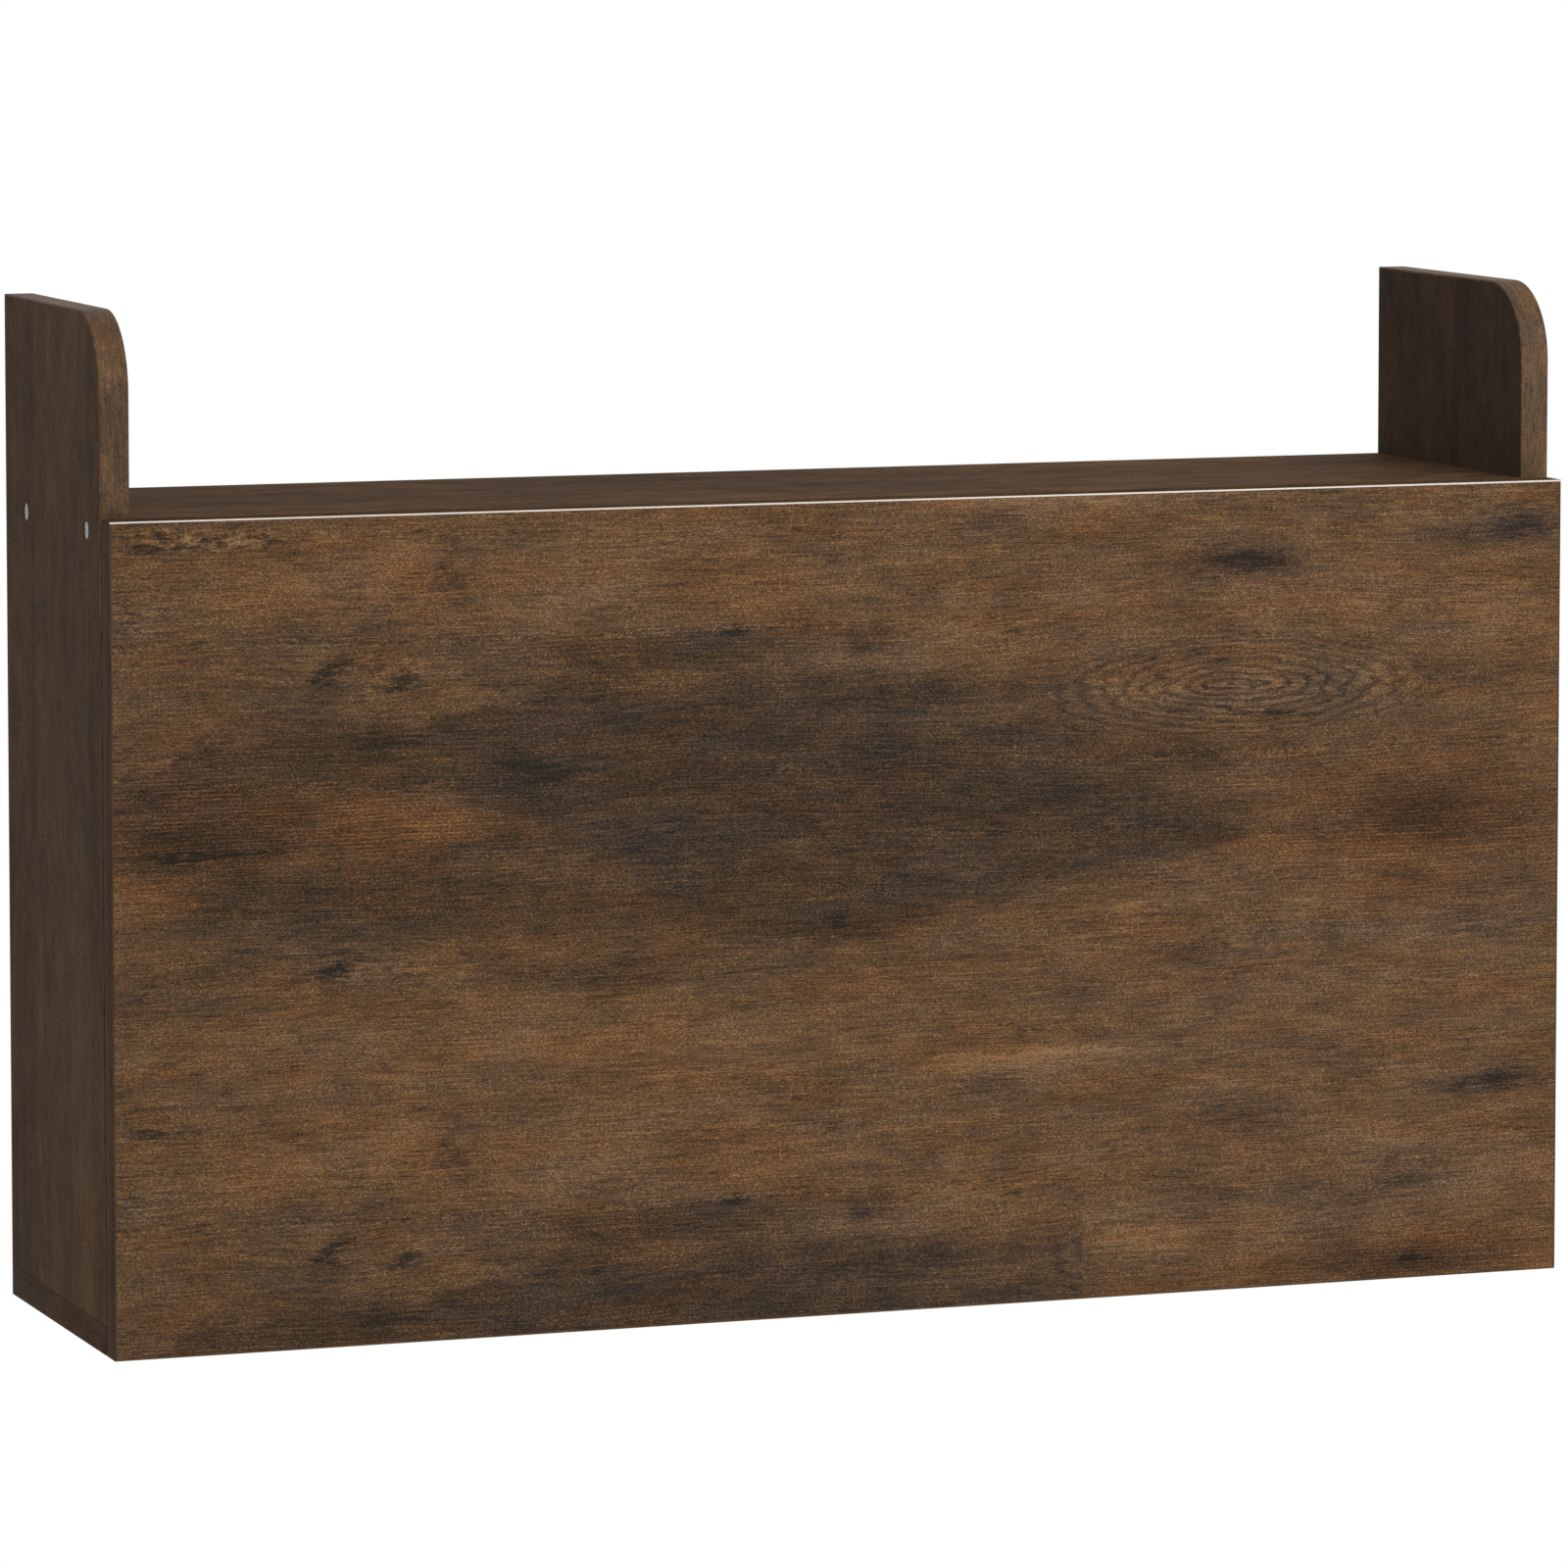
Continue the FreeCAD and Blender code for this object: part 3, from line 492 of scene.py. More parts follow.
def new_finish(name):
    """A new material with nothing but its shader: its bench and that shader."""
    material = bpy.data.materials.new(name)
    material.use_nodes = True
    material.node_tree.nodes.clear()
    bench = Bench(material.node_tree)
    shader = bench.add("BsdfPrincipled")
    bench.add("OutputMaterial", {"Surface": shader.outputs[0]})
    return bench, shader


def close_finish(bench, shader, colour, roughness, height, depth):
    """Feed a shader its colour, roughness and a bump from a height."""
    bench.feed(shader.inputs["Base Color"], colour)
    bench.feed(shader.inputs["Roughness"], roughness)
    bump = bench.add("Bump", {"Strength": 1.0, "Distance": depth, "Height": height})
    bench.feed(shader.inputs["Normal"], bump.outputs[0])


# ---------------------------------------------------------------- the wood print

MM = 0.001
DEPTH_STEP = 25.0  # how far along the sheet the print moves on for each unit of depth into a board
PRINT_DEPTH = 0.00012  # height of the pressed pores
HIGHLIGHT_DEPTH = 0.00006  # depth from the front face over which the flap's top band is painted pale: a painted highlight
RAW_FROM_WALL = 0.0002  # board edges nearer to the wall than this are raw

# Placed figure of the flap's print, on its face, in millimetres: (x, z, half length, half height,
# strength), where the strength of a swell is a shift. Left of SPLICE the print comes again each repeat;
# right of it the marks are placed over the whole height.
SPLICE = 123
CLOUDS = (
    (-165, 82, 70, 40, 0.85), (-110, 98, 120, 36, 0.7), (10, 64, 220, 60, 0.85), (-60, 10, 260, 48, 0.65),
    (90, 34, 160, 36, 0.6), (-270, 92, 110, 26, 0.7), (-265, 12, 130, 26, 0.75), (-350, 50, 100, 50, 0.6),
    (-110, 132, 140, 22, 0.6), (8, 138, 20, 12, 0.55), (-350, -20, 80, 32, 0.5), (318, 32, 40, 8, 0.2),
    (302, 4, 40, 8, 0.28), (-12, -2, 60, 18, 0.6), (-281, 128, 14, 18, 0.6), (-252, 94, 20, 12, 0.5),
    (210, 169, 80, 14, 0.5), (345, 181, 70, 14, 0.5), (150, 124, 60, 10, 0.35), (-200, 40, 60, 10, 0.45),
    (-150, -28, 90, 16, 0.55), (180, 70, 50, 12, 0.4), (325, 36, 110, 34, 0.62), (340, 110, 80, 22, 0.4),
    (-280, -20, 16, 16, 0.6), (-230, 72, 60, 8, 0.4), (180, 34, 50, 16, 0.6), (20, 112, 120, 16, 0.5),
    (355, -106, 50, 10, 0.9), (215, -118, 50, 12, 0.35), (300, -157, 30, 10, 0.45),
    (230, -158, 110, 12, 0.35), (300, -197, 110, 16, 0.65), (180, -32, 60, 10, 0.35),
    (10, -224.8, 220, 60, 0.85),
)
GLOWS = (
    (-300, 176, 110, 30, 0.6), (-240, 168, 50, 34, 0.6), (-155, 164, 60, 24, 0.8),
    (-100, 190, 120, 16, 0.3), (105, 204, 120, 10, 0.95), (50, 142, 40, 12, 0.5), (335, 146, 100, 12, 0.5),
    (140, 156, 60, 10, 0.45), (-100, 118, 50, 18, 0.8), (-235, 56, 60, 11, 0.65), (-320, -86, 120, 18, 0.6),
    (-350, 56, 50, 5, 0.5), (-370, -98, 60, 22, 0.6), (105, -79.5, 70, 6, 1.2), (0, -80, 200, 16, 0.6),
    (-165, -60, 60, 18, 0.6), (155, -6, 40, 10, 0.85), (50, -36, 60, 16, 0.4), (300, -50, 80, 18, 0.5),
    (262, 34, 34, 30, 0.2), (155, 102, 40, 7, 0.6), (276, 112, 24, 18, 0.7), (315, 104, 30, 6, 0.5),
    (-340, -90, 70, 14, 0.6), (-215, 30, 50, 8, 0.35), (-305, 128, 14, 10, 0.6), (-110, -88, 80, 10, 0.6),
    (-100, -14, 50, 18, 0.8), (-303, -17, 14, 10, 0.6), (152, -177, 40, 12, 0.8), (160, -134, 70, 14, 0.65),
    (300, -134, 80, 16, 0.65), (385, -150, 40, 18, 0.7), (215, -96, 60, 16, 0.6), (200, -50, 90, 10, 0.35),
    (-280, -55, 120, 20, 0.3), (230, 150, 150, 30, 0.45),
)
KNOTS = (
    (218, 170.5, 36, 11, 0.52), (372, 184, 30, 11.5, 0.62), (30, 141, 11, 4, 0.5), (-72, 142, 13, 3.4, 0.6),
    (89, 140, 6, 4.5, 0.5), (-243, 124, 8, 4.4, 0.8), (-17, 178, 10, 7.5, 0.45), (-214, 174, 13, 14, 0.4),
    (-372, 161, 8, 4.8, 0.5), (209, 93, 9, 2.2, 1.1), (228, 93, 9, 2.2, 1.1), (243, 75, 7, 2, 0.9),
    (215, -27, 6, 4.8, 0.6), (-340, 40.5, 60, 1.6, 0.7), (-335, 45.5, 16, 5.5, 0.4),
    (-171, 77, 28, 20, 0.36), (-375, 193, 12, 3, 0.8), (200, 118, 12, 6, 0.4), (-278, -22, 10, 8, 0.7),
    (217, 132, 6, 4, 0.5), (-250, 95, 16, 5, 0.5), (-255, 15, 12, 6, 0.4), (300, 5, 16, 4, 0.25),
    (318, 32, 20, 4, 0.25), (-100, 17, 12, 3.5, 0.4), (100, -24, 6, 4, 0.45), (302, -197, 12, 5, 0.6),
    (350, -106, 30, 4, 0.5), (-281, 130, 7, 9, 0.6), (-10, -6, 20, 5, 0.45),
)
RED_AREAS = (
    (-251, 50, 120, 26, 1.1), (-357, 60, 70, 60, 0.9), (300, 36, 150, 60, 0.9), (300, -198, 150, 22, 1.2),
    (-240, 168, 60, 40, 0.3), (330, 150, 90, 20, 0.4),
)
ASH_AREAS = (
    (222, 165, 80, 20, 1.4), (320, -16, 130, 22, 1.0), (230, 116, 150, 36, 0.6), (370, 184, 45, 15, 1.4),
    (-171, 77, 60, 30, 0.5), (-385, 150, 30, 30, 0.5), (215, -46, 110, 26, 0.9), (-214, 174, 20, 16, 0.7),
    (10, 60, 280, 70, 0.6), (-60, 120, 160, 30, 0.4), (230, -124, 80, 22, 1.0), (250, -160, 160, 26, 1.0),
    (355, -106, 50, 14, 0.8), (-280, 120, 60, 30, 0.4),
)
LINED_AREAS = (
    (-251, 50, 150, 34, 1.8), (-357, 66, 80, 46, 1.4), (310, 34, 150, 60, 1.3), (214, 105, 180, 52, 2.4),
    (-120, 140, 200, 12, 1.2), (60, 70, 240, 24, 0.9), (300, -198, 130, 20, 1.3),
)
BARK = (
    (-340, 198.5, 70, 7, 1.5), (-200, 198, 90, 4.5, 0.6), (340, 197, 50, 10, 0.6), (-375, 160, 30, 15, 0.6),
    (-260, 128, 60, 11, 0.6), (-255, -18, 70, 11, 0.6), (280, 110, 30, 16, 0.6), (340, 106, 50, 8, 0.5),
    (160, 40, 50, 16, 0.5), (-365, 90, 40, 6, 0.6),
)
SWELLS = (
    (214, 145, 180, 45, -8), (214, 66, 180, 45, 8), (-171, 77, 80, 50, 5), (-281, 127, 60, 30, 4),
    (330, 120, 80, 40, 5), (-100, 50, 200, 50, -5),
)
PALE_LINES = (
    (105, -79.5, 70, 8, 0.17), (75, 206, 90, 9, 0.14), (160, -177, 50, 10, 0.08), (160, -4, 50, 9, 0.09),
    (-235, 56, 60, 12, 0.05),
)
OVAL = (208, 107, 115, 28, 9)  # centre, half length, half height and number of its rings


def print_roll(bench, given):
    """The board's own directions laid round a print roll, so the print comes again each turn."""
    repeat = sizes().print_repeat
    radius = repeat / math.tau
    along, across, depth = bench.split(given["Vector"])
    angle = bench.times(bench.plus(across, given["Shift"]), math.tau / repeat)
    elsewhere = bench.scaled(depth, DEPTH_STEP, along)
    turned = (bench.times(bench.math(kind, angle), radius) for kind in ("COSINE", "SINE"))
    return {"Vector": bench.combine(elsewhere, *turned)}


def wood_print(bench, given):
    """Rustic wood print: clouds, streaks, growth lines, pores and specks of one décor sheet."""
    flat = bench.effect("Print Roll", Vector=given["Vector"])[0]
    sway = bench.noise(flat, (5.0, 16.0, 16.0), 3.1, 2.0)
    shift = bench.scaled(bench.minus(sway, 0.5), 0.007, given["Swell"])
    sheet = bench.effect("Print Roll", Vector=given["Vector"], Shift=shift)[0]

    def layer(place, along, across, seed, detail=0.0, roughness=0.5):
        """One layer of the print: cycles per metre along and across the grain, and its seed."""
        return bench.noise(place, (along, across, across), seed, detail, roughness)

    cloud = layer(sheet, 4.0, 15.0, 0.0, 4.0, 0.55)
    patch = layer(sheet, 30.0, 56.0, 21.0, 4.0, 0.62)
    streak = layer(sheet, 10.0, 120.0, 5.0, 1.0)
    line = layer(sheet, 45.0, 1300.0, 9.0, 1.0)
    speck = layer(flat, 850.0, 1900.0, 17.0)
    pore = layer(sheet, 140.0, 1300.0, 13.0)
    bark = layer(sheet, 150.0, 380.0, 37.0, 2.0, 0.7)
    blush = layer(sheet, 14.0, 56.0, 27.0, 4.0, 0.62)
    dent = layer(flat, 70.0, 900.0, 31.0, 1.0)

    blot = bench.between(patch, 0.42, 0.56)
    pores = bench.times(bench.between(pore, 0.56, 0.70), bench.between(patch, 0.62, 0.40))
    flecks = bench.times(bench.between(speck, 0.64, 0.78), bench.between(patch, 0.42, 0.60))
    across = bench.plus(bench.split(given["Vector"])[1], shift)
    turns = sizes().growth_lines * math.tau / sizes().print_repeat
    phase = bench.blend(given["Oval Mask"], bench.times(across, turns), given["Oval"])
    ring = bench.between(bench.math("SINE", bench.scaled(streak, 3.0, phase)), -0.2, 1.0)
    rings = bench.times(ring, bench.between(line, 0.25, 0.60))

    tone = bench.plus(given["Tone"], 0.54)
    for value, amount, strength in ((cloud, 0.70, "Clouds"), (patch, 0.26, "Clouds"), (blot, 0.10, "Clouds"),
                                    (streak, 0.12, "Streaks"), (line, 0.75, "Grain"), (speck, 1.00, "Grain")):
        swing = bench.times(bench.minus(value, 0.5), amount)
        tone = bench.scaled(swing, given[strength], tone)
    crust = bench.minus(bark, 0.5)
    for value, amount, strength in ((pores, -0.17, "Grain"), (flecks, 0.16, "Grain"), (rings, -0.16, "Lines"),
                                    (crust, 2.2, "Bark")):
        tone = bench.scaled(bench.times(value, amount), given[strength], tone)

    colour = colours()
    wood = bench.ramp(tone, [(0.0, colour.knot), (0.24, colour.shade), (0.50, colour.brown),
                             (0.72, colour.warm), (1.0, colour.ochre)])
    redness = bench.scaled(bench.between(blush, 0.52, 0.59), 0.45, given["Red"])
    greyness = bench.scaled(bench.between(blush, 0.49, 0.42), 0.60, given["Ash"])
    for share, tint in ((redness, (1.10, 0.93, 0.80, 1.0)), (greyness, (0.88, 0.97, 1.17, 1.0))):
        wood = bench.mix(bench.math("MINIMUM", share, 1.0), wood, tint, "MULTIPLY")
    return {"Color": wood, "Height": dent, "Roughness": bench.scaled(bench.minus(patch, streak), 0.16, 0.62)}


def placed(bench, place, x, z, length, height):
    """A place measured from a mark's centre, in its half lengths."""
    return bench.add("Mapping", {0: place, 1: (x * MM, z * MM, 0.0), 3: (length * MM, height * MM, 1.0)},
                     vector_type="TEXTURE").outputs[0]


def placed_sum(bench, place, marks, unit=1.0):
    """The sum of soft oval marks at their places."""
    total = 0.0
    for *where, amount in marks:
        oval = placed(bench, place, *where)
        soft = bench.add("TexGradient", {0: oval}, gradient_type="SPHERICAL").outputs[1]
        total = bench.scaled(soft, amount * unit, total)
    return total


def flap_figure(bench, given):
    """The flap's own clouds, knots, red and lined areas, with ragged edges along the grain."""
    repeat = sizes().print_repeat
    along, across, depth = bench.split(given["Vector"])
    foot = SHELF_TOP - repeat
    turn = bench.math("FLOORED_MODULO", bench.minus(across, foot), repeat)
    elsewhere = bench.scaled(depth, DEPTH_STEP, along)
    whole = bench.math("GREATER_THAN", along, SPLICE * MM)
    one_turn = bench.blend(whole, bench.plus(turn, foot), across)
    rolled = bench.effect("Print Roll", Vector=given["Vector"])[0]

    def wander(stretch, seed, reach, detail):
        """How far a place strays along and across the grain."""
        soft = bench.vector("MULTIPLY_ADD", rolled, stretch, (seed, seed, seed))
        noise = bench.add("TexNoise", {"Vector": soft, "Scale": 1.0, "Detail": detail, "Roughness": 0.7})
        centred = bench.vector("SUBTRACT", noise.outputs[1], (0.5, 0.5, 0.5))
        return bench.vector("MULTIPLY", centred, (reach[0], reach[1], 0.0))

    calm = bench.combine(elsewhere, one_turn, 0.0)
    ragged = bench.vector("ADD", calm, wander((18.0, 80.0, 80.0), 2.0, (0.080, 0.020), 4.0))
    rough = bench.vector("ADD", ragged, wander((130.0, 600.0, 600.0), 8.0, (0.022, 0.0050), 1.0))
    half_way = bench.vector("MULTIPLY", bench.vector("SUBTRACT", ragged, calm), (0.45, 0.45, 0.0))
    sway = bench.vector("ADD", calm, half_way)

    dark = bench.between(placed_sum(bench, rough, CLOUDS), 0.05, 0.65)
    glow = bench.between(placed_sum(bench, rough, GLOWS), 0.0, 1.3)
    knot = bench.between(placed_sum(bench, rough, KNOTS), 0.05, 0.60)
    tone = bench.scaled(dark, -0.27, bench.times(glow, 0.21))
    tone = bench.scaled(knot, -0.34, tone)
    first_turn = bench.between(across, foot - 0.01, foot + 0.01)
    far = bench.add("VectorMath", {0: placed(bench, sway, *OVAL[:4])}, operation="LENGTH").outputs[1]
    return {
        "Tone": bench.plus(tone, placed_sum(bench, sway, PALE_LINES)),
        "Red": placed_sum(bench, ragged, RED_AREAS),
        "Lines": bench.plus(placed_sum(bench, ragged, LINED_AREAS), 0.25),
        "Swell": placed_sum(bench, calm, SWELLS, MM),
        "Oval": bench.times(far, OVAL[4] * math.tau),
        "Oval Mask": bench.between(far, 1.4, 0.9),
        "Ash": placed_sum(bench, ragged, ASH_AREAS),
        "Bark": bench.times(placed_sum(bench, rough, BARK), first_turn),
    }


def chipboard(bench, given):
    """Raw chipboard: pressed flakes of light and dark wood."""
    flakes = bench.add("TexVoronoi", {"Vector": given["Vector"], "Scale": 700.0})
    fine = bench.noise(given["Vector"], 1500.0, 4.0, 2.0)
    tone = bench.plus(bench.split(flakes.outputs["Color"])[0], bench.minus(fine, 0.5))
    raw = colours().chipboard
    stops = [(0.05, darker(raw, 0.45)), (0.45, raw), (1.0, srgb(206, 180, 142))]
    return {"Color": bench.ramp(tone, stops), "Height": fine}


def printed_board(name, turn, start, figure=False, tone=0.0, red=0.0, clouds=1.0, streaks=1.0, grain=1.0,
                  lines=0.3, ash=0.0, bark=0.0, gloss=0.02, strips=(), core=False, raw_rear=True, joint=None):
    """A printed board.

    turn names the axes along the grain, across it and through the board (- for none), and start is the
    place on the sheet. Each strip (axis, from, to, amount) changes the tone by its amount from one place
    to another, and joint is the height below which a dark line of painted shade shows along the seam.
    """
    bench, shader = new_finish(name)
    shader.inputs["Specular IOR Level"].default_value = gloss
    place = bench.object_place()
    axes = dict(zip("xyz", bench.split(place)))
    parts = [bench.plus(*(axes[axis] for axis in part)) if len(part) > 1 else axes.get(part, 0.0)
             for part in turn.split()]
    laid = bench.vector("ADD", bench.combine(*parts), start)
    for axis, begin, end, amount in strips:
        tone = bench.plus(tone, bench.between(axes[axis], begin, end, 0.0, amount))
    feeds = {"Tone": tone, "Red": red, "Ash": ash, "Bark": bark, "Lines": lines}
    if figure:
        feeds = {mark.name: mark for mark in bench.effect("Flap Figure", Vector=laid)}
        feeds["Tone"] = bench.plus(feeds["Tone"], tone)
    wood = bench.effect("Wood Print", Vector=laid, Clouds=clouds, Streaks=streaks, Grain=grain, **feeds)
    colour = wood["Color"]
    # painted highlight: the front face of the flap's top band painted pale, standing in for light caught on
    # its rounded front arris
    if core:
        edge = bench.math("LESS_THAN", axes["y"], FLAP_FRONT + HIGHLIGHT_DEPTH)
        colour = bench.mix(edge, colour, colours().band_core)
    if raw_rear:
        rear = bench.math("GREATER_THAN", axes["y"], -RAW_FROM_WALL)
        raw = bench.effect("Chipboard", Vector=place)
        colour = bench.mix(rear, colour, raw["Color"])
    # painted shade: a near-black line painted along the foot of a side panel, for the shade in the seam on
    # the bottom panel
    if joint is not None:
        near = bench.math("LESS_THAN", axes["z"], joint)
        colour = bench.mix(bench.times(near, 0.75), colour, srgb(24, 19, 16))
    close_finish(bench, shader, colour, wood["Roughness"], wood["Height"], PRINT_DEPTH)


# ---------------------------------------------------------------- other finishes

FITTING_DEPTH = 0.00002  # height of drawn lines and moulded texture
BACK_RAW_FROM_WALL = 0.0015  # the back panel nearer to the wall than this is raw
SEAM_SHADE_HEIGHT = 0.0004  # painted shade: the dark line along the seam where a side panel stands on the bottom panel


def worn_metal(bench, given):
    """Plated metal: fine drawn lines, cloudy plating and a few scratches."""
    cloud = bench.noise(given["Vector"], 220.0, 1.0, 3.0)
    drawn = bench.noise(given["Vector"], (300.0, 2600.0, 2600.0), 3.0, 2.0)
    scratch = bench.between(bench.noise(given["Vector"], (900.0, 260.0, 700.0), 7.0, 3.0), 0.66, 0.72)
    grime = bench.times(bench.between(cloud, 0.35, 0.75), 0.35)
    colour = bench.mix(grime, given["Base"], (0.72, 0.70, 0.68, 1.0), "MULTIPLY")
    return {"Color": bench.mix(bench.times(scratch, 0.5), colour, (0.9, 0.9, 0.9, 1.0)),
            "Roughness": bench.scaled(bench.minus(cloud, 0.5), 0.4, given["Roughness"]),
            "Height": bench.minus(drawn, scratch)}


def moulded_plastic(bench, given):
    """Moulded plastic: a fine spark-eroded texture and slight cloudiness."""
    fine = bench.noise(given["Vector"], 2400.0, 2.0, 1.0)
    cloud = bench.noise(given["Vector"], 140.0, 5.0, 3.0)
    return {"Color": bench.mix(cloud, given["Base"], (0.80, 0.80, 0.82, 1.0), "MULTIPLY"),
            "Roughness": bench.scaled(bench.minus(cloud, 0.5), 0.3, given["Roughness"]),
            "Height": fine}


EFFECTS = {
    "Print Roll": (print_roll, {"Shift": 0.0}),
    "Wood Print": (wood_print, {"Tone": 0.0, "Red": 0.0, "Swell": 0.0, "Lines": 0.3, "Oval": 0.0,
                                "Oval Mask": 0.0, "Ash": 0.0, "Bark": 0.0, "Clouds": 1.0, "Streaks": 1.0,
                                "Grain": 1.0}),
    "Flap Figure": (flap_figure, {}),
    "Chipboard": (chipboard, {}),
    "Worn Metal": (worn_metal, {"Base": (0.6, 0.6, 0.6, 1.0), "Roughness": 0.3}),
    "Moulded Plastic": (moulded_plastic, {"Base": (0.2, 0.2, 0.2, 1.0), "Roughness": 0.45}),
}


def made_fitting(name, kind, base, roughness, metallic=0.0, clear=0.0):
    """A plated or moulded finish; kind names its effect, and base its colour among the settings."""
    bench, shader = new_finish(name)
    surface = bench.effect(kind, Vector=bench.object_place(), Base=getattr(colours(), base),
                           Roughness=roughness)
    shader.inputs["Metallic"].default_value = metallic
    shader.inputs["Transmission Weight"].default_value = clear
    close_finish(bench, shader, surface["Color"], surface["Roughness"], surface["Height"], FITTING_DEPTH)


def turned_beech(name):
    """Plain beech with fine flecks along the grain."""
    bench, shader = new_finish(name)
    place = bench.object_place()
    fleck = bench.noise(place, 500.0, 2.0, 3.0)
    cloud = bench.noise(place, 60.0, 8.0, 2.0)
    pale = colours().beech
    tone = bench.plus(fleck, bench.minus(cloud, 0.5))
    colour = bench.ramp(tone, [(0.3, darker(pale, 0.62)), (0.6, pale)])
    close_finish(bench, shader, colour, bench.between(fleck, 0.2, 0.8, 0.45, 0.65), fleck, depth=0.00005)


def pressed_hardboard(name):
    """The back panel: printed inside the cabinet, raw pressed fibre against the wall."""
    bench, shader = new_finish(name)
    place = bench.object_place()
    x, y, z = bench.split(place)
    wood = bench.effect("Wood Print", Vector=bench.combine(x, z, y), Tone=-0.04, Clouds=0.5, Streaks=0.7,
                        Grain=0.7, Lines=0.2)
    fibre = bench.noise(place, 900.0, 3.0, 4.0, 0.7)
    cloud = bench.noise(place, 9.0, 6.0, 4.0)
    raw = colours().hardboard
    tone = bench.scaled(bench.minus(cloud, 0.5), 0.6, fibre)
    pressed = bench.ramp(tone, [(0.25, darker(raw, 0.55)), (0.55, raw), (0.85, srgb(150, 114, 80))])
    rear = bench.math("GREATER_THAN", y, -BACK_RAW_FROM_WALL)
    colour = bench.mix(rear, wood["Color"], pressed)
    close_finish(bench, shader, colour, bench.between(tone, 0.2, 0.8, 0.5, 0.75), fibre, depth=0.00006)


def side_board(start, tone, grain):
    """An upright side panel: soft upright streaks, darker to the rear and beside the front band."""
    strips = (("y", FRONT + 0.126, FRONT + 0.130, -0.09), ("y", FRONT + 0.026, FRONT + 0.022, -0.08))
    # the ash tint greys the side panels' print: partly the print's own grey, partly a painted sheen
    return printed_board, {
        "turn": "z y x", "start": start, "tone": tone, "clouds": 0.6, "streaks": 0.8, "grain": grain,
        "lines": 0.5, "ash": 0.95, "bark": 0.06, "strips": strips, "joint": FLOOR_TOP + SEAM_SHADE_HEIGHT}


def board(turn, start=(0.0, 0.0, 0.0), **settings):
    """A printed board's maker and its settings."""
    return printed_board, {"turn": turn, "start": start, **settings}


def metal(base, roughness):
    """A plated metal's maker and its settings."""
    return made_fitting, {"kind": "Worn Metal", "base": base, "roughness": roughness, "metallic": 1.0}


def plastic(base, roughness, clear=0.0):
    """A moulded plastic's maker and its settings."""
    return made_fitting, {"kind": "Moulded Plastic", "base": base, "roughness": roughness, "clear": clear}


FINISHES = {
    # the flap's face, and its bands; the top one has a painted highlight, its front face painted pale
    "flap_print": board("x z y", (0.0, 0.0, -FLAP_FRONT), figure=True, tone=0.070, clouds=0.42,
                        raw_rear=False),
    "flap_top_banding": board("x y z", clouds=0.5, lines=0.2, gloss=0.0, core=True, raw_rear=False),
    "flap_bottom_banding": board("x y z", clouds=0.5, lines=0.2, raw_rear=False),
    "flap_end_banding": board("z y x", clouds=0.5, grain=0.6, lines=0.2, tone=-0.08, ash=0.6, raw_rear=False),
    # sides, and the bands round them, whose grain follows the band
    "left_side_print": side_board((0.13, 0.05, 0.0), 0.03, 0.75),
    # the right panel's print tone is set darker than the left's: painted shade for its inner face above the
    # top shelf, carried over both its faces
    "right_side_print": side_board((0.55, 0.17, 0.0), -0.09, 0.5),
    "side_banding": board("yz x -", (0.2, 0.0, 0.0), tone=0.02, red=-0.3, clouds=0.8, streaks=0.9, grain=0.65,
                          lines=0.4, bark=0.28, gloss=0.13),
    # shelves and bottom panel: streaks across the desk; the base's band is from a dark part of the sheet
    # the shelves are printed lighter towards the right end (the x strip): painted light; and the ash tint at
    # full strength, with gloss near nil, greys them all over: a painted sheen
    "shelf_print": board("x y z", (0.31, 0.02, 0.0), tone=0.05, clouds=0.8, streaks=2.6, grain=0.7, lines=0.8,
                         ash=1.0, gloss=0.002, strips=(("x", -0.05, 0.30, 0.07),)),
    "shelf_banding": board("xy z -", (0.4, 0.0, 0.0), clouds=0.4, grain=0.7, lines=0.2),
    "base_banding": board("xy z -", (0.7, 0.03, 0.0), tone=-0.10, clouds=0.4, grain=0.6, lines=0.2, ash=0.9),
    # dividers and hanging rails
    "divider_print": board("z y x", (0.5, 0.11, 0.0), clouds=0.5, streaks=0.7, grain=0.5),
    "divider_banding": board("z x -", (0.9, 0.0, 0.0), clouds=0.4, grain=0.7, lines=0.2),
    "rail_print": board("x z y", (0.7, 0.04, 0.0), clouds=0.5, streaks=0.7, grain=0.6, raw_rear=False),
    # back, dowels and fittings
    "hardboard_back": (pressed_hardboard, {}),
    "beech_turned": (turned_beech, {}),
    "zinc_plate": metal("zinc", 0.30),
    "pressed_steel": metal("steel", 0.36),
    "magnet_nickel": metal("magnet", 0.38),
    "spring_wire": metal("wire", 0.38),
    "latch_moulding": plastic("plastic", 0.42),
    "clear_bumper": plastic("bumper", 0.22, clear=0.8),
}


# ---------------------------------------------------------------- pieces


def straight_band(name, node, body, planes, look, cutters=()):
    """A band the size of its node, its outer corners rounded."""
    piece = block(name, *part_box(node))
    cut_out(piece, cutters)
    round_arrises(piece, between_planes(piece, planes))
    fitted(piece, body, node, look)


def flap_bands():
    """The four bands round the flap."""
    faces = [(1, FLAP_FRONT), (1, FLAP_BACK)]
    ends = [(0, -OUTER), (0, OUTER)]
    straight_band("flap_top_banding", "flap_top_edge_band", "flap",
                  faces + ends + [(2, SHELF_TOP)], "flap_top_banding")
    straight_band("flap_bottom_banding", "flap_bottom_edge_band", "flap",
                  faces + [(2, UNDERSIDE)], "flap_bottom_banding", hinge_hollows())
    for side, sign in SIDES.items():
        straight_band("flap_" + side + "_banding", "flap_" + side + "_edge_band", "flap",
                      faces + [(0, sign * OUTER), (2, UNDERSIDE)], "flap_end_banding")


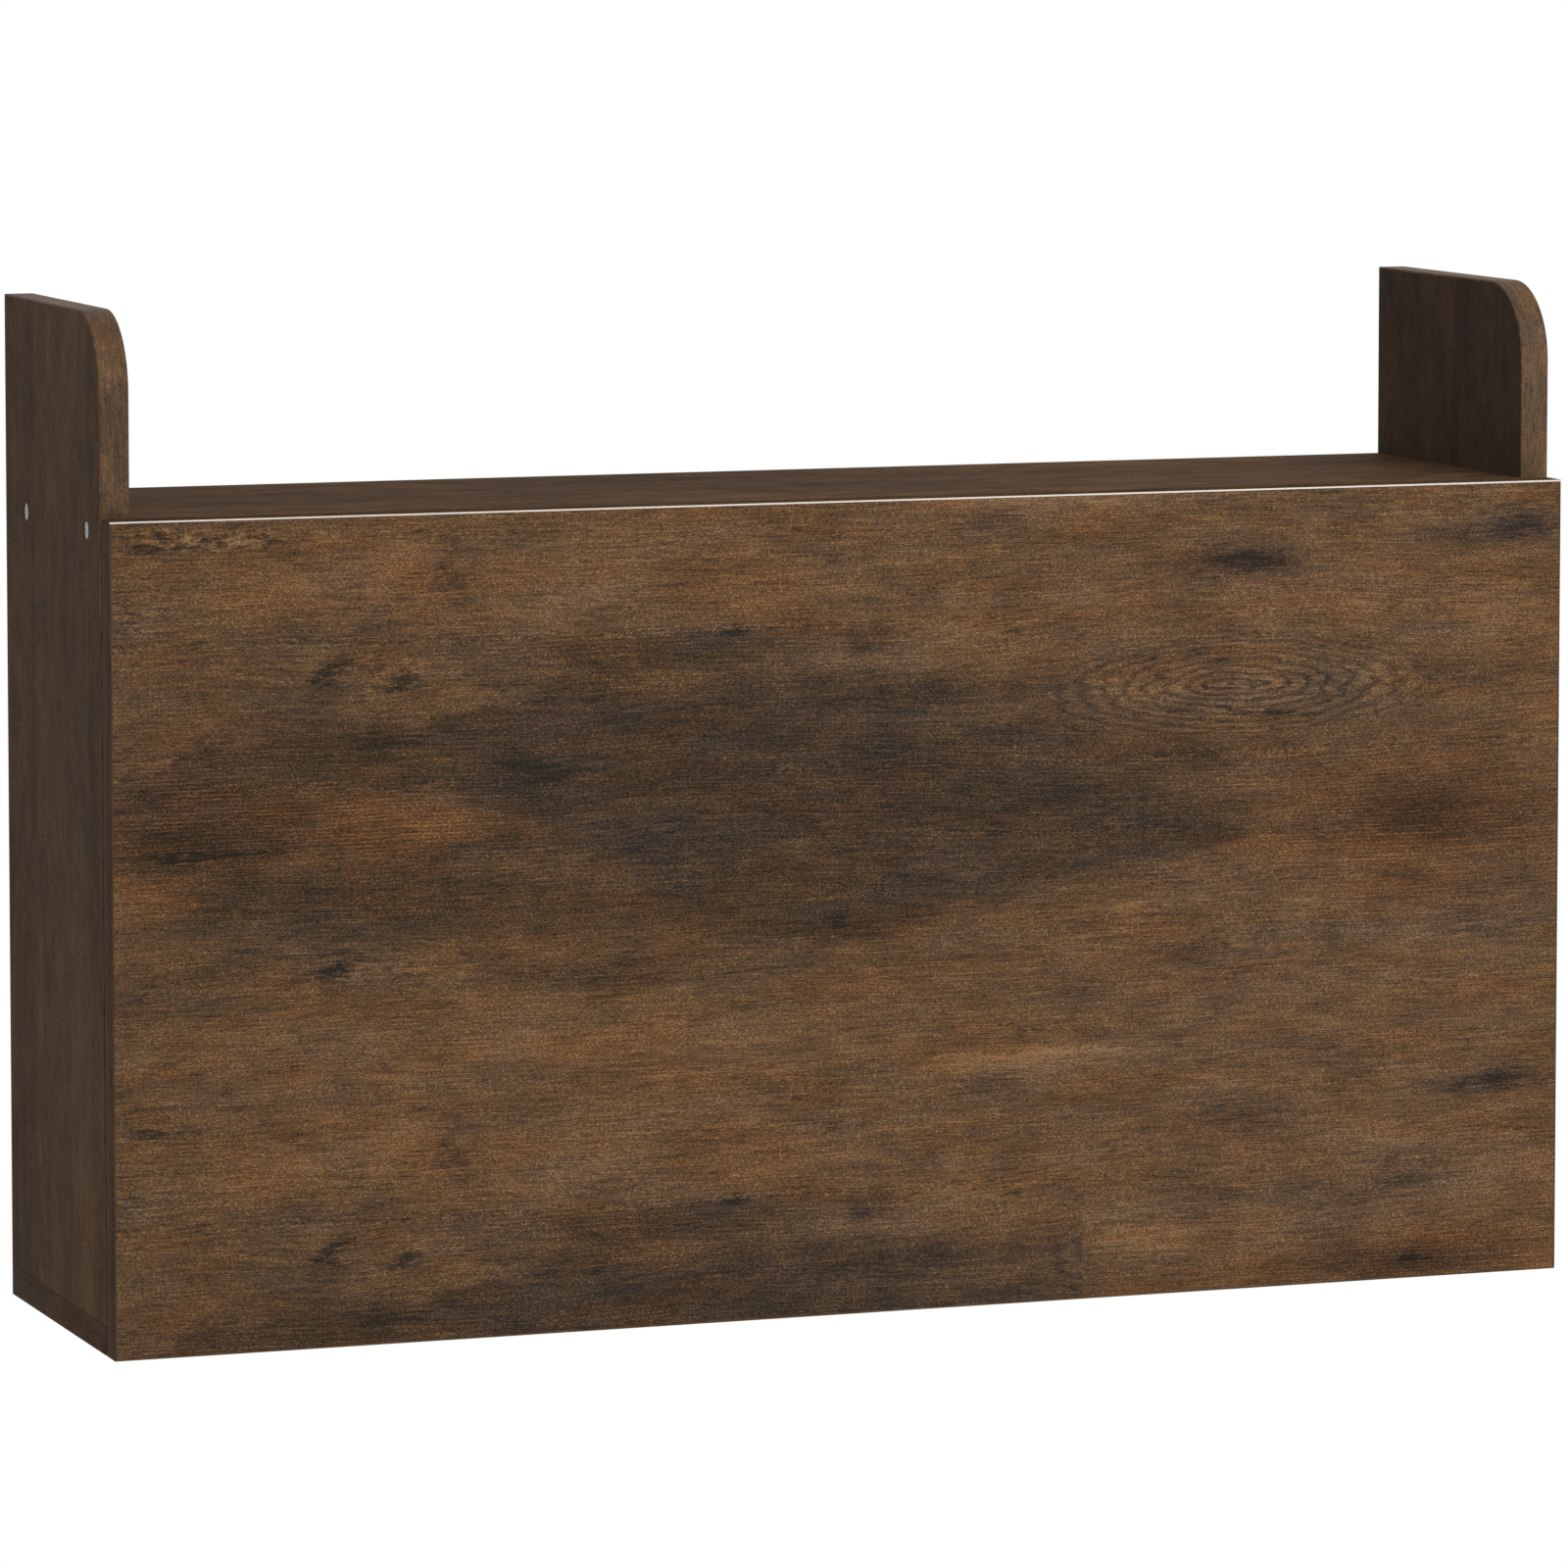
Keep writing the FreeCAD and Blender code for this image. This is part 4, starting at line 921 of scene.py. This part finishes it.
def side_banding(side, sign):
    """The band up a side panel's front edge, round its corner and back to the wall."""
    radius = sizes().corner_radius
    centre = (0.0, FRONT + radius, SIDE_TOP - radius)
    piece = block(side + "_side_banding", (sign * INNER, FRONT, FLOOR_TOP),
                  (sign * OUTER, FRONT + BAND, centre[2]))
    edit(piece, "FACE", lambda face: face.normal.z > 0.9)
    bpy.ops.mesh.spin(steps=20, angle=math.pi / 2, center=centre, axis=(1.0, 0.0, 0.0))
    bpy.ops.mesh.extrude_region_move(TRANSFORM_OT_translate={"value": (0.0, -centre[1], 0.0)})
    leave()
    points = piece.data.vertices

    def outermost(point):
        if point.z < centre[2]:
            return point.y < FRONT + ON_PLACE
        if point.y > centre[1]:
            return point.z > SIDE_TOP - ON_PLACE
        return math.hypot(point.y - centre[1], point.z - centre[2]) > radius - ON_PLACE

    def arris(edge):
        a, b = (points[i].co for i in edge.vertices)
        same_face = abs(a.x - b.x) < ONE_POINT
        return same_face and outermost(a) and outermost(b) and (b - a).length > ON_PLACE

    round_arrises(piece, arris)
    fitted(piece, "carcass", side + "_side_edge_band", "side_banding")


def base_banding():
    """The band round the bottom panel's front edge and two ends."""
    a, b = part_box("bottom_edge_band")
    inside = block("inside", (a.x + BAND, a.y + BAND, a.z - BAND), (b.x - BAND, b.y + BAND, b.z + BAND))
    planes = [(0, -OUTER), (0, OUTER), (1, FRONT), (2, UNDERSIDE), (2, FLOOR_TOP)]
    straight_band("base_banding", "bottom_edge_band", "carcass", planes, "base_banding",
                  [inside] + hinge_hollows())


def shelf_banding(shelf):
    """The band on a shelf's front edge."""
    a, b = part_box(shelf + "_edge_band")
    straight_band(shelf + "_banding", shelf + "_edge_band", "carcass",
                  [(1, a.y), (2, a.z), (2, b.z)], "shelf_banding")


def divider_bandings():
    """The front bands of the two dividers, as one piece."""
    a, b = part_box("divider_edge_bands")
    width = high("right_divider").x - low("right_divider").x
    pieces = []
    for near, far in ((a.x, a.x + width), (b.x - width, b.x)):
        piece = block("divider_band", (near, a.y, a.z), (far, b.y, b.z))
        round_arrises(piece, between_planes(piece, [(1, a.y), (0, near), (0, far)]))
        pieces.append(piece)
    both = as_one("divider_bandings", pieces)
    fitted(both, "carcass", "divider_edge_bands", "divider_banding")


# ---------------------------------------------------------------- operators


class WALLDESK_OT_flap(bpy.types.Operator):
    """Finish the flap and round its bands"""

    bl_idname = "wall_desk.flap"
    bl_label = "Flap"

    def execute(self, context):
        dress("flap_print", "flap_panel")
        flap_bands()
        return {"FINISHED"}


class WALLDESK_OT_sides(bpy.types.Operator):
    """Finish the side panels and bend the bands round their corners"""

    bl_idname = "wall_desk.sides"
    bl_label = "Sides"

    def execute(self, context):
        for side, sign in SIDES.items():
            dress(side + "_side_print", side + "_side")
            side_banding(side, sign)
        return {"FINISHED"}


class WALLDESK_OT_shelves(bpy.types.Operator):
    """Finish the shelves and the bottom panel, with their bands"""

    bl_idname = "wall_desk.shelves"
    bl_label = "Shelves and base"

    def execute(self, context):
        dress("shelf_print", "top_shelf", "bottom_panel", "inner_shelf")
        shelf_banding("top_shelf")
        shelf_banding("inner_shelf")
        base_banding()
        return {"FINISHED"}


class WALLDESK_OT_inside(bpy.types.Operator):
    """Finish the dividers, the hanging rails and the back"""

    bl_idname = "wall_desk.inside"
    bl_label = "Dividers, rails and back"

    def execute(self, context):
        dress("divider_print", "left_divider", "right_divider")
        dress("rail_print", "lower_rail", "upper_rail")
        dress("hardboard_back", "back_panel")
        divider_bandings()
        return {"FINISHED"}


class WALLDESK_OT_fittings(bpy.types.Operator):
    """Finish the hinges, stays and latches"""

    bl_idname = "wall_desk.fittings"
    bl_label = "Hinges, stays and latches"

    def execute(self, context):
        dress("pressed_steel", "hinge_pins")
        for hinge in HINGES:
            for leaf in ("_hinge_carcass_leaf", "_hinge_flap_leaf"):
                soften(hinge + leaf, "pressed_steel", 0.00020)
        soften("catch_plates", "pressed_steel", 0.00025)
        for side in SIDES:
            soften(side + "_stay_bar", "pressed_steel", 0.00040, shortest=0.0)
            soften(side + "_stay_bracket", "pressed_steel", 0.00030)
            dress("pressed_steel", side + "_stay_stud", side + "_stay_rivet")
            soften(side + "_latch_housing", "latch_moulding", 0.00080)
            soften(side + "_latch_plunger", "latch_moulding", 0.00040, shortest=0.0)
            soften(side + "_latch_magnet", "magnet_nickel", 0.00050, shortest=0.0)
            dress("spring_wire", side + "_latch_spring")
        return {"FINISHED"}


class WALLDESK_OT_fixings(bpy.types.Operator):
    """Finish the screws, nails, pegs, dowels and bumpers"""

    bl_idname = "wall_desk.fixings"
    bl_label = "Screws, dowels and bumpers"

    def execute(self, context):
        dress("zinc_plate", "shelf_screws", "base_screws", "hinge_screws_carcass", "hinge_screws_flap",
              "bracket_screws", "latch_screws", "catch_screws", "shelf_pegs", "back_nails")
        dress("beech_turned", "carcass_dowels", "divider_dowels")
        dress("clear_bumper", "bumpers")
        return {"FINISHED"}


class WALLDESK_OT_stage(bpy.types.Operator):
    """Lay the floor and set the lamps, the world and the camera"""

    bl_idname = "wall_desk.stage"
    bl_label = "Floor, light and camera"

    def execute(self, context):
        lay_floor()
        light_up()
        place_camera()
        return {"FINISHED"}


FLOOR_WIDTH = 60.0
GLOW_FROM_TO = (0.9, 2.2)  # metres from the desk over which the floor turns to plain white for the camera


def lay_floor():
    """A wide pale floor below the desk."""
    height = AXIS.z - studio().worktop_height
    bpy.ops.object.select_all(action="DESELECT")
    bpy.ops.mesh.primitive_plane_add(size=FLOOR_WIDTH, location=(0.0, 0.0, height))
    floor = settled(bpy.context.active_object, "studio_floor")
    bench, shader = new_finish("studio_floor")
    shader.inputs["Roughness"].default_value = 0.7
    place = bench.object_place()
    x, y, z = bench.split(place)
    dust = bench.noise(place, 3.0, 1.0, 3.0)
    bench.feed(shader.inputs["Base Color"], bench.mix(bench.times(dust, 0.04), colours().floor,
                                                      srgb(210, 210, 208)))
    away = bench.add("VectorMath", {0: bench.combine(x, y, 0.0)}, operation="LENGTH").outputs[1]
    glow = bench.add("Emission", {"Color": (1.0, 1.0, 1.0, 1.0), "Strength": 1.0})
    seen = bench.add("LightPath").outputs["Is Camera Ray"]
    share = bench.times(bench.between(away, *GLOW_FROM_TO, 0.35, 1.0), seen)
    blend = bench.add("MixShader", {0: share, 1: shader.outputs[0], 2: glow.outputs[0]})
    output = next(node for node in bench.tree.nodes if node.type == "OUTPUT_MATERIAL")
    bench.feed(output.inputs["Surface"], blend.outputs[0])
    floor.data.materials.append(bpy.data.materials["studio_floor"])


def softbox(name, place, size, power):
    """A square lamp aimed at the desk."""
    place = Vector(place)
    turn = (Vector((0.0, FRONT, 0.0)) - place).to_track_quat("-Z", "Y").to_euler()
    bpy.ops.object.select_all(action="DESELECT")
    bpy.ops.object.light_add(type="AREA", location=place, rotation=turn)
    lamp = bpy.context.active_object
    lamp.name = name
    lamp.data.shape = "SQUARE"
    lamp.data.size = size
    lamp.data.energy = power


def light_up():
    """Soft light from all round, a high softbox at the front right and a low one in front."""
    softbox("key_softbox", (1.2, -2.1, 1.9), 1.3, studio().key_power)
    softbox("front_softbox", (0.5, -2.8, 0.3), 1.6, studio().front_power)
    world = bpy.data.worlds.new("studio")
    bpy.context.scene.world = world
    world.use_nodes = True
    world.node_tree.nodes.clear()
    bench = Bench(world.node_tree)
    path = bench.add("LightPath").outputs
    seen = bench.math("MAXIMUM", path["Is Camera Ray"],
                      bench.math("MAXIMUM", path["Is Glossy Ray"], path["Is Transmission Ray"]))
    strength = bench.between(seen, 0.0, 1.0, studio().ambient, 1.0, smooth=False)
    sky = bench.add("Background", {"Color": (1.0, 1.0, 1.0, 1.0), "Strength": strength})
    bench.add("OutputWorld", {"Surface": sky.outputs[0]})


def place_camera():
    """The camera, from the front left and a little above."""
    settings = studio()
    turn = (math.pi / 2 - settings.camera_pitch, 0.0, -settings.camera_yaw)
    bpy.ops.object.select_all(action="DESELECT")
    bpy.ops.object.camera_add(location=settings.camera_place, rotation=turn)
    camera = bpy.context.active_object
    camera.name = "camera"
    camera.data.lens = settings.lens
    camera.data.sensor_width = 36.0
    camera.data.shift_y = settings.shift
    bpy.context.scene.camera = camera
    bpy.context.scene.view_settings.view_transform = "Standard"


OPERATORS = (WALLDESK_OT_stage, WALLDESK_OT_flap, WALLDESK_OT_sides, WALLDESK_OT_shelves, WALLDESK_OT_inside,
             WALLDESK_OT_fittings, WALLDESK_OT_fixings)


class WALLDESK_PT_panel(bpy.types.Panel):
    """The desk's settings and steps"""

    bl_idname = "WALLDESK_PT_panel"
    bl_label = "Fold-Down Wall Desk"
    bl_space_type = "VIEW_3D"
    bl_region_type = "UI"
    bl_category = "Wall Desk"

    def draw(self, context):
        layout = self.layout
        for settings in (sizes(), colours(), studio()):
            box = layout.box()
            for name in type(settings).__annotations__:
                box.prop(settings, name)
        for operator in OPERATORS:
            layout.operator(operator.bl_idname)


SETTINGS = {"wall_desk_sizes": WallDeskSizes, "wall_desk_colours": WallDeskColours,
            "wall_desk_stage": WallDeskStage}
CLASSES = tuple(SETTINGS.values()) + OPERATORS + (WALLDESK_PT_panel,)


def register():
    """Register the settings, operators and panel."""
    for item in CLASSES:
        bpy.utils.register_class(item)
    for name, group in SETTINGS.items():
        setattr(bpy.types.Scene, name, bpy.props.PointerProperty(type=group))


def unregister():
    """Take the settings, operators and panel away."""
    for name in SETTINGS:
        delattr(bpy.types.Scene, name)
    for item in reversed(CLASSES):
        bpy.utils.unregister_class(item)


def main():
    """Run every step in order."""
    register()
    bpy.ops.object.select_all(action="DESELECT")
    bpy.ops.wall_desk.stage()
    bpy.ops.wall_desk.flap()
    bpy.ops.wall_desk.sides()
    bpy.ops.wall_desk.shelves()
    bpy.ops.wall_desk.inside()
    bpy.ops.wall_desk.fittings()
    bpy.ops.wall_desk.fixings()


if __name__ == "__main__":
    main()
